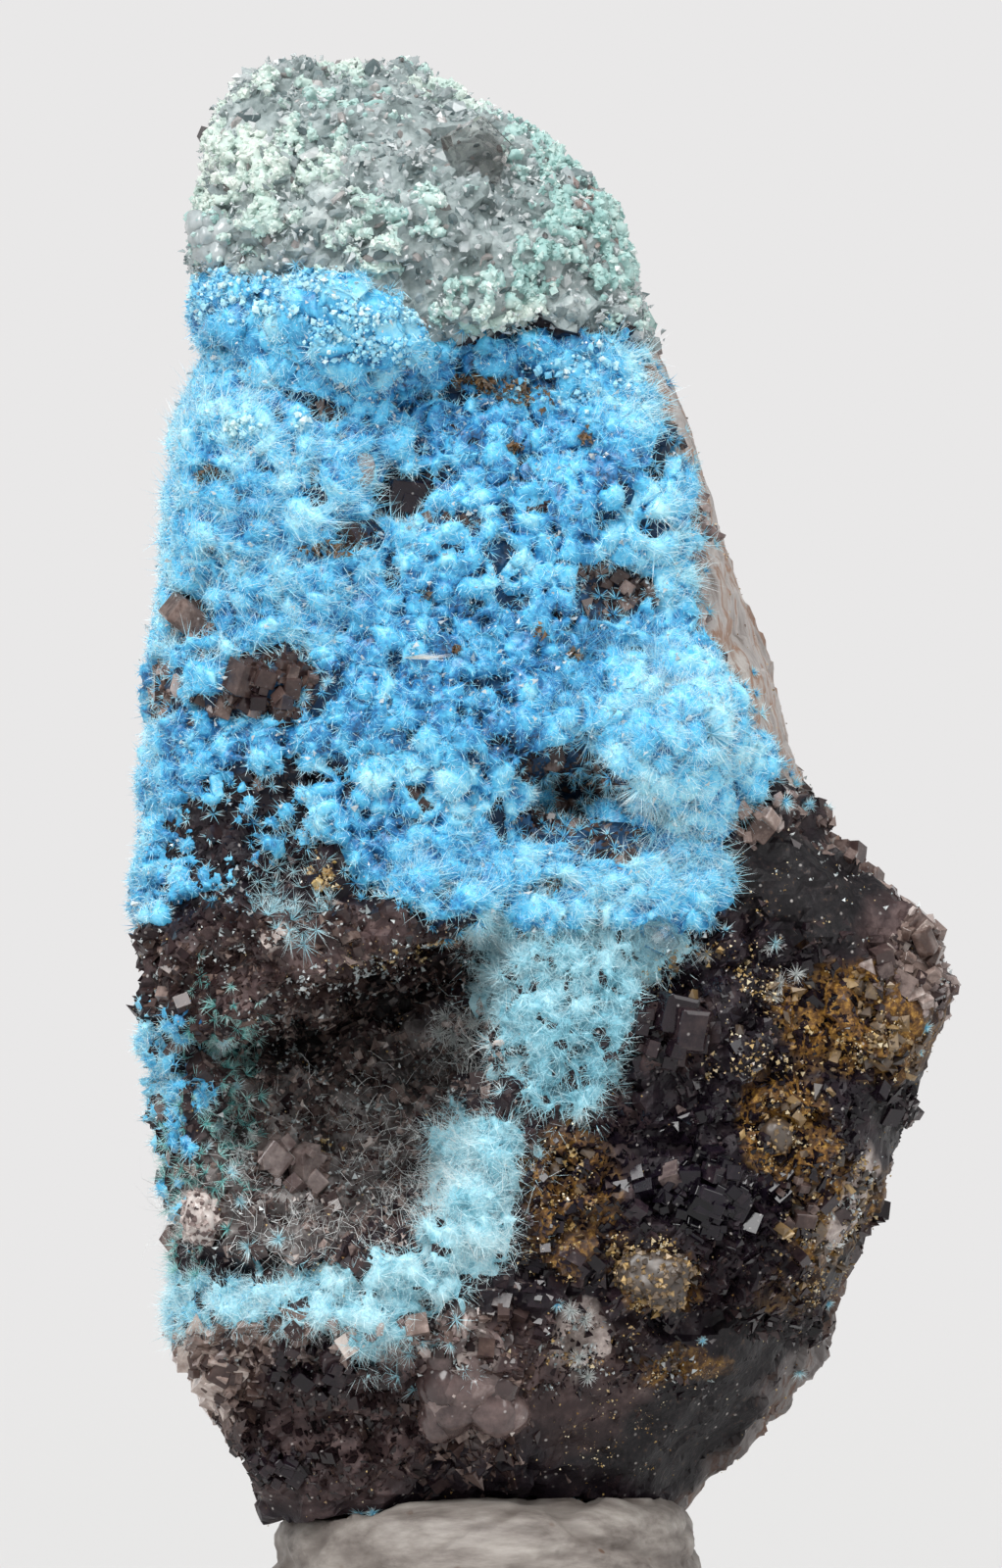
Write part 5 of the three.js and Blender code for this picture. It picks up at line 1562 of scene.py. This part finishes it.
def curled_hairs(name, places, normals, length, material, seed, thickness=0.01, curl=0.45):
    """Curved hairs joined in one piece. Curl is the sideways swing as a share of the length."""
    draw = np.random.default_rng(seed)
    count = len(places)
    frames = upright_axes(normals + 0.9 * draw.normal(size=(count, 3)), 1.0, 1.0, draw)
    phase, turns = draw.random(count) * 2 * np.pi, 1.5 + 3 * draw.random(count)
    rings = []
    for step in range(HAIR_STEPS + 1):
        along = step / HAIR_STEPS
        aside = curl * along * length
        local = np.stack([aside * np.cos(phase + turns * along), aside * np.sin(phase + turns * along),
                          along * length], axis=1)
        centre = places + np.einsum("nij,nj->ni", frames, local)
        width = thickness * MM * (1 - 0.9 * along)
        for corner in range(3):
            angle = corner * 2 * np.pi / 3
            ring_side = frames[:, :, 0] * math.cos(angle) + frames[:, :, 1] * math.sin(angle)
            rings.append(centre + ring_side * width)
    size = 3 * (HAIR_STEPS + 1)
    faces = [(2, 1, 0), (size - 3, size - 2, size - 1)]
    for step in range(HAIR_STEPS):
        for corner in range(3):
            a, b = 3 * step + corner, 3 * step + (corner + 1) % 3
            faces += [(a, b, b + 3), (a, b + 3, a + 3)]
    tone = np.clip(0.75 + 0.3 * draw.normal(size=count), 0, 1)
    return mesh_piece(name, np.stack(rings, axis=1), np.array(faces), material,
                      {"tone": tone, "along": np.full(count, 0.7)})


HAIRY = [(425, 1195, 80, 56, -30, 0.7), (300, 1258, 90, 24, 0, 0.3), (480, 1070, 36, 40, 0, 0.8),
         (350, 1150, 120, 60, 0, 0.07), (250, 1190, 40, 50, 0, 0.2), (205, 1240, 40, 40, 0, 0.4)]
hair_points, hair_normals = pick_tufts(
    rock_surface, lambda points: patches(ragged(points, 10.0, 1.0 * MM, 59), HAIRY, 0.8)
    * front_share(points, 4 * MM), 90000, 231, 0.08 * MM)
hair_draw = np.random.default_rng(233)
curled_hairs("vug_hairs", hair_points, hair_normals, (0.4 + 0.9 * hair_draw.random(len(hair_points))) * MM,
             white_needles, 234, thickness=0.01, curl=0.6)

# %% [markdown]
# ## Larger crystals
# The CAD names the crystals that stand out, each as a plain solid. Here each is grown again
# in its place as parallel cubes that are sunk in the rock. A block is one large cube with growth
# steps, inset and raised on its faces, and small ones at its foot. A cluster is many small
# cubes over a few large ones. All edges are bevelled, since the real ones are a little worn.

# %% Growing crystals again


def add_cube(bm, size, place, turn, steps, tone, draw):
    """A cube added to bm, some of its faces raised in growth steps. Its vertices keep its tone."""
    layer = bm.verts.layers.float["tone"]
    made = bmesh.ops.create_cube(bm, size=1)["verts"]
    faces = list(dict.fromkeys(face for vert in made for face in vert.link_faces))
    for face in faces:
        if draw.random() < steps:
            bmesh.ops.inset_individual(
                bm, faces=[face], thickness=0.06 + 0.16 * draw.random(), depth=0.02 + 0.05 * draw.random())
    island = list({v for face in faces for v in face.verts} | set(made))
    for vert in island:
        vert[layer] = tone
    matrix = Matrix.Translation(place) @ turn.to_matrix().to_4x4() @ Matrix.Diagonal((*size, 1))
    bmesh.ops.transform(bm, matrix=matrix, verts=island)


def finished_piece(bm, node, material, tone):
    """Turns bm into the piece that replaces a CAD node."""
    bmesh.ops.recalc_face_normals(bm, faces=bm.faces)
    mesh = mesh_of(bm, node + "_grown")
    mesh.shade_flat()
    if "tone" not in mesh.attributes:
        write_attribute(mesh, "tone", np.full(len(mesh.vertices), tone))
    warmth = smooth_step(0.15, 0.6, tone) * (material is fluorite)
    write_attribute(mesh, "warm", np.full(len(mesh.vertices), warmth))
    mesh.materials.append(material)
    piece = placed(node + "_grown", mesh)
    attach(piece, "root")
    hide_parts(node)
    return piece


STANDING = 0.4  # how far a cube's middle may stand above the rock, as a share of its size
WORN_EDGE = 0.015 * MM


def worn(bm):
    """Bevels every edge a little."""
    bmesh.ops.bevel(bm, geom=bm.edges[:], offset=WORN_EDGE, offset_type="OFFSET", segments=1, profile=0.5,
                    affect="EDGES", material=-1)


def grown_crystal(node, main, small, largest, turn, scatter, material, slot, tone, seed):
    """Rebuilds a CAD crystal from main cubes, up to largest of its width, and small ones.

    They share one turn in degrees, but for some scatter.
    """
    low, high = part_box(node)
    middle, span = (low + high) / 2, high - low
    middle.x += outline_shift(np.array([middle]))[0]
    side = min(span.x, span.z)
    draw = np.random.default_rng(seed)
    bm = bmesh.new()
    bm.verts.layers.float.new("tone")
    for i in range(main + small):
        away = draw.normal(size=3)
        away /= np.linalg.norm(away)
        if i < main:
            share, reach = largest * (1 - 0.4 * draw.random() * (main > 1)), (0 if main == 1 else 0.34)
        else:
            share, reach = largest * (0.2 + 0.3 * draw.random()), 0.34 + 0.1 * draw.random()
        place = middle + Vector((away[0] * span.x, away[1] * span.y, away[2] * span.z)) * reach
        place.y += side * (0.34 if i < main else 0.26)
        size = [side * share * (0.75 + 0.5 * draw.random()) for _ in range(3)]
        foot, normal, _, away = rock_tree.find_nearest(place)
        if (place - foot).dot(normal) > STANDING * side * share:
            place = foot + (place - foot) * (STANDING * side * share / away)
        lean = Euler([math.radians(t + scatter * draw.normal()) for t in turn])
        own_tone = min(max(tone + 0.1 * draw.normal(), 0), 1)
        add_cube(bm, size, place, lean, 0.6 if i < main else 0.0, own_tone, draw)
    worn(bm)
    finished_piece(bm, node, material, tone)


# main cubes, small cubes, share of the width, turn, scatter, material, slot and tone
CRYSTALS = {
    "smoky_fluorite_block": (1, 10, 0.7, (10, 14, 20), 6, fluorite, "fluorite", 0.2),
    "grey_fluorite_cube": (1, 4, 0.7, (18, 38, 20), 4, fluorite, "fluorite", 0.5),
    "left_fluorite_cluster": (12, 80, 0.36, (24, 10, 30), 12, fluorite, "fluorite", 0.46),
    "left_edge_quartz": (4, 30, 0.4, (30, 20, 10), 14, fluorite, "quartz", 0.62),
    "right_smoky_fluorite": (4, 24, 0.4, (20, 30, 12), 12, fluorite, "fluorite", 0.5),
    "right_fluorite_pair": (5, 30, 0.42, (15, 25, 35), 20, fluorite, "fluorite", 0.66),
    "purple_fluorite_block": (3, 40, 0.5, (12, 8, 24), 6, fluorite, "fluorite", 0.32),
    "right_edge_quartz": (10, 80, 0.34, (35, 25, 40), 25, fluorite, "quartz", 0.6),
    "stepped_fluorite": (24, 180, 0.28, (16, 22, 14), 12, fluorite, "fluorite", 0.18),
    "grey_fluorite_right": (4, 24, 0.4, (28, 14, 38), 14, fluorite, "fluorite", 0.46),
    "lower_left_fluorite": (12, 100, 0.26, (32, 18, 26), 12, fluorite, "fluorite", 0.3),
    "lower_left_edge_fluorite": (8, 50, 0.26, (14, 28, 22), 16, fluorite, "fluorite", 0.5),
    "left_foot_fluorite": (10, 60, 0.28, (26, 36, 12), 16, fluorite, "fluorite", 0.3),
    "ledge_quartz": (3, 30, 0.4, (30, 16, 24), 20, fluorite, "quartz", 0.66),
    "vug_quartz_crystal": (6, 40, 0.45, (20, 24, 32), 20, pink_quartz, "quartz", 0.4),
    "limonite_cube": (4, 50, 0.4, (20, 30, 40), 14, limonite, "limonite", 0.5),
}
for number, (node, make) in enumerate(CRYSTALS.items()):
    grown_crystal(node, *make, 500 + number)
print(len(CRYSTALS), "crystals grown again")

# %% [markdown]
# The rounded ones, beads and nodules of quartz and limonite, are lumps with a rough skin.
# The two rough nodules carry grains of their own.

# %% Beads and nodules


def nodule(node, material, slot, tone, roughness, grain_count, grain_material, lobes, seed):
    """Rebuilds a CAD bead as a lump rough by some mm, or several grown together, with grains on it."""
    low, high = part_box(node)
    middle, span = (low + high) / 2, high - low
    draw = np.random.default_rng(seed + 5)
    bm = bmesh.new()
    layer = bm.verts.layers.float.new("tone")
    for _ in range(lobes):
        share = 1.0 if lobes == 1 else 0.3 + 0.2 * draw.random()
        aside = Vector((draw.random(3) - 0.5) * (1 - share) * 1.1)
        lobe = bmesh.ops.create_icosphere(bm, subdivisions=4 if lobes == 1 else 3, radius=0.5)["verts"]
        bmesh.ops.scale(bm, vec=Vector((span.x, span.y * 1.5, span.z)) * share, verts=lobe)
        bmesh.ops.translate(bm, verts=lobe, vec=middle + Vector(
            (aside.x * span.x, (0.25 + 0.5 * abs(aside.x) + 0.5 * abs(aside.z)) * span.y, aside.z * span.z)))
        own_tone = tone + 0.12 * draw.normal() * (lobes > 1)
        for vert in lobe:
            vert[layer] = own_tone
    piece = finished_piece(bm, node, material, tone)
    points, normals = read_points(piece.data), read_normals(piece.data)
    push = 0.8 * lumps(points, 1.0 * MM, seed + 4) + 0.5 * lumps(points, 0.5 * MM, seed)
    push += 0.4 * lumps(points, 0.2 * MM, seed + 1)
    write_points(piece.data, points + normals * (push * roughness * MM)[:, None])
    piece.data.shade_smooth()
    if grain_count:
        draw = np.random.default_rng(seed + 2)
        places = strew(surface_of(piece.data), grain_count, seed + 3)
        size = (0.08 + 0.16 * draw.random(grain_count)) * MM
        sides = size[:, None] * (0.8 + 0.8 * draw.random((grain_count, 3)))
        axes = tumbled_axes(sides, draw)
        joined_copies(node + "_grains", BEAD, places["points"], axes, grain_material,
                      {"tone": np.clip(0.5 + 0.25 * draw.normal(size=grain_count), 0, 1)})


# material, slot, tone, roughness, grains and their material, lobes
NODULES = {
    "pink_quartz_bead": (pink_quartz, "quartz", 0.55, 0.08, 0, None, 1),
    "vug_pale_nodule": (pink_quartz, "quartz", 0.85, 0.26, 300, pink_quartz, 1),
    "limonite_ball": (olive_limonite, "limonite", 0.3, 0.14, 50, olive_limonite, 1),
    "limonite_nodule": (olive_limonite, "limonite", 0.22, 0.42, 460, olive_limonite, 1),
    "cap_left_quartz": (quartz, "quartz", 0.72, 0.16, 160, green_crust, 12),
    "low_quartz_cluster": (pink_quartz, "quartz", 0.16, 0.2, 90, pink_quartz, 44),
}
for number, (node, make) in enumerate(NODULES.items()):
    nodule(node, *make, 600 + 5 * number)

# %% [markdown]
# Two crystals are clear: a quartz beside the aqua tuft and a smoky window in the cap. Quartz grows
# as a six-sided prism that ends in a point. Clear quartz has plain transmission and its own
# refractive index, and the smoky one absorbs a little brown.

# %% Clear quartz


def clear_material(name, colour, density):
    material, tree = new_material(name)
    principled(tree, {"Base Color": "#ffffff", "Roughness": 0.05, "IOR": 1.544, "Transmission Weight": 1.0})
    smoke = add_node(tree, "ShaderNodeVolumeAbsorption", {"Color": colour, "Density": density})
    tree.links.new(smoke.outputs["Volume"], tree.nodes["Material Output"].inputs["Volume"])
    return material


def clear_piece(node, build, turn, material, deeper):
    """Rebuilds a clear CAD crystal from what build(bm, span) makes, turned in place."""
    low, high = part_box(node)
    bm = bmesh.new()
    build(bm, high - low)
    worn(bm)
    place = Matrix.Translation((low + high) / 2 + Vector((0, deeper * MM, 0)))
    turned = place @ Euler([math.radians(t) for t in turn]).to_matrix().to_4x4()
    bmesh.ops.transform(bm, matrix=turned, verts=bm.verts)
    finished_piece(bm, node, material, 0.5)


def quartz_point(bm, span):
    radius = 0.42 * min(span.x, span.z)
    bmesh.ops.create_cone(bm, cap_ends=True, segments=6, radius1=radius, radius2=radius, depth=radius * 2)
    top = max(bm.faces, key=lambda face: face.calc_center_median().z)
    tip = bmesh.ops.extrude_face_region(bm, geom=[top])["geom"]
    tip = [v for v in tip if isinstance(v, bmesh.types.BMVert)]
    bmesh.ops.translate(bm, verts=tip, vec=(0, 0, radius * 0.9))
    bmesh.ops.scale(bm, verts=tip, vec=(0.16, 0.16, 1))


def quartz_window(bm, span):
    """A tablet with uneven sides, its broad face to the front."""
    bmesh.ops.create_cone(bm, cap_ends=True, segments=5, radius1=0.46 * span.x, radius2=0.4 * span.x,
                          depth=0.5 * span.y)
    bmesh.ops.scale(bm, verts=bm.verts, vec=(0.9, 0.95, 1.0))


clear_quartz = clear_material("clear_quartz", "#dfeef4", 120.0)
smoky_quartz = clear_material("smoky_quartz", "#a08c7c", 420.0)
clear_piece("clear_quartz_crystal", quartz_point, (70, 0, 20), clear_quartz, 0.1)
clear_piece("cap_smoky_window", quartz_window, (80, 8, 16), smoky_quartz, -0.12)
print("two clear crystals")

# %% [markdown]
# ## The putty pad
# Mounting putty is a soft grey-white clay that is rolled between the fingers and pressed down.
# It has rounded shoulders, long shallow folds and fine streaks of dust. The CAD pad is remeshed
# and the folds are pressed in as a wave that noise bends.

# %% Putty
putty = remeshed_copy("mounting_putty", "putty", PUTTY_FACE)
putty_points, putty_normals = read_points(putty.data), read_normals(putty.data)
drift = 2.4 * lumps(putty_points, 6 * MM, 701) + 0.9 * lumps(putty_points, 1.6 * MM, 702)
fold = np.sin(putty_points[:, 2] / MM * 2.4 + putty_points[:, 0] / MM * 0.55 + 2.6 * drift)
ripple = np.sin(putty_points[:, 2] / MM * 5.2 - putty_points[:, 0] / MM * 1.4 + 3.4 * drift)
crack = smooth_step(0.82, 1.0, ripple)
press = -0.18 * smooth_step(0.5, 1.0, fold) - 0.08 * crack + 0.12 * lumps(putty_points, 2.2 * MM, 703)
press += 0.04 * lumps(putty_points, 0.5 * MM, 704)
press *= smooth_step(0, 0.5 * MM, putty_points[:, 2])
write_points(putty.data, putty_points + putty_normals * (press * MM)[:, None])
putty.data.shade_smooth()
# The fold attribute carries painted shade for the folds and grooves.
write_attribute(putty.data, "fold", np.maximum(smooth_step(0.5, 1.0, fold), crack))
putty_material, tree = new_material("grey_white_putty")
dust = noise(tree, 1.1, 6.0, 0.65, (0.0, 0.5, 0.0), (0.35, 1.0, 1.6))
# Painted shade: the clay's colours are darker than grey-white putty, for the dim light it sits in under the
# rock.
clay = ramp(tree, dust, [(0.30, "#5d554f"), (0.45, "#827a74"), (0.60, "#9b948d"), (0.80, "#b9b2ac")])
# Painted shade: the folds and grooves are darkened.
clay = blend(tree, sum_of(tree, "MULTIPLY", attribute(tree, "fold"), 0.45), clay, "#655c56")
clay = blend(tree, dust_specks(tree, 0.9, 1.4), clay, "#5f4534")
principled(tree, {"Base Color": clay, "Roughness": 0.55, "IOR": 1.45, "Normal": bump(tree, dust, 0.35, 0.05)})
putty.data.materials.clear()
putty.data.materials.append(putty_material)
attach(putty, "root")
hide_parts("mounting_putty")
print("the putty has", len(putty.data.polygons), "faces")

# %% [markdown]
# ## Studio
# The photograph is a close-up with a long lens, lit softly from above and in front, on a seamless
# pale ground. The floor here is a round sheet that curves up all round the specimen, far enough off
# to be behind any camera. Near the specimen it is matt paper that takes the shadow. Further out
# the paper gives way to an even glow of the same brightness, as a studio's backdrop has under its
# own lamps, so no horizon shows from any side.

# %% Camera
CAMERA_DISTANCE = 400 * MM
FOCAL_PLANE = -6 * MM
FRAME_HEIGHT = PHOTO_SIZE[1] * PIXEL
SENSOR = 36.0
camera_data = bpy.data.cameras.new("camera")
camera_data.sensor_fit = "VERTICAL"
camera_data.sensor_height = SENSOR
camera_data.lens = SENSOR * CAMERA_DISTANCE / FRAME_HEIGHT
camera_data.clip_start = 10 * MM
camera_data.clip_end = 5.0
camera = placed("camera", camera_data)
middle_x, middle_z = place_of(PHOTO_SIZE[0] / 2, PHOTO_SIZE[1] / 2)
camera.location = (middle_x, FOCAL_PLANE - CAMERA_DISTANCE, middle_z)
camera.rotation_euler = (math.radians(90), 0, 0)
bpy.context.scene.camera = camera
print("lens", round(camera_data.lens), "mm")

# %% Seamless ground
ground_material, tree = new_material("matt_white_paper")
GLOW_FROM, GLOW_TO = 0.07, 0.42
away = add_node(tree, "ShaderNodeVectorMath", {0: place_in(tree)}, operation="LENGTH")
glow = add_node(
    tree, "ShaderNodeMapRange",
    {"Value": away.outputs["Value"], "From Min": GLOW_FROM, "From Max": GLOW_TO},
    interpolation_type="SMOOTHSTEP").outputs["Result"]
principled(tree, {"Base Color": blend(tree, glow, "#d6d5d4", "#000000"), "Roughness": 0.9,
                  "Specular IOR Level": 0.0, "Emission Color": "#e9e8e8", "Emission Strength": glow})
GROUND_RADIUS, CURVE_RADIUS, GROUND_TOP, GROUND_STEPS = 0.95, 0.25, 0.3, 96
ground_shape = bmesh.new()
curve = [
    (GROUND_RADIUS + CURVE_RADIUS * math.sin(angle), CURVE_RADIUS * (1 - math.cos(angle)))
    for angle in np.linspace(0, math.pi / 2, 13)
]
line = [(0.0, 0.0), (0.1, 0.0), *curve, (GROUND_RADIUS + CURVE_RADIUS, GROUND_TOP)]
profile = [ground_shape.verts.new((x, 0, z)) for x, z in line]
edges = [ground_shape.edges.new(pair) for pair in zip(profile, profile[1:])]
bmesh.ops.spin(ground_shape, geom=profile + edges, cent=(0, 0, 0), axis=(0, 0, 1), angle=2 * math.pi,
               steps=GROUND_STEPS, use_duplicate=False)
bmesh.ops.remove_doubles(ground_shape, verts=ground_shape.verts, dist=0.001 * MM)
bmesh.ops.recalc_face_normals(ground_shape, faces=ground_shape.faces)
if max(ground_shape.faces, key=lambda face: face.calc_area()).normal.z < 0:
    bmesh.ops.reverse_faces(ground_shape, faces=ground_shape.faces)
ground_mesh = mesh_of(ground_shape, "ground")
ground_mesh.shade_smooth()
ground_mesh.materials.append(ground_material)
ground = placed("ground", ground_mesh)

# %% Lights
world = bpy.data.worlds.new("studio_air")
world.use_nodes = True
world.node_tree.nodes["Background"].inputs["Color"].default_value = linear("#f4f6f8")
world.node_tree.nodes["Background"].inputs["Strength"].default_value = 0.35
bpy.context.scene.world = world
bpy.context.scene.view_settings.view_transform = "Standard"
bpy.context.scene.cycles.denoising_prefilter = "NONE"


def soft_light(name, side, width, strength):
    """A broad far lamp on one side, width degrees wide as seen from the specimen."""
    data = bpy.data.lights.new(name, "SUN")
    data.angle = math.radians(width)
    data.energy = strength
    lamp = placed(name, data)
    lamp.location = side
    lamp.rotation_euler = (-Vector(side)).to_track_quat("-Z", "Y").to_euler()


soft_light("key_light", (-0.14, -0.28, 0.39), 40, 3.05)
soft_light("fill_light", (0.35, -0.28, 0.26), 30, 0.64)
print("two soft lights and the studio air")
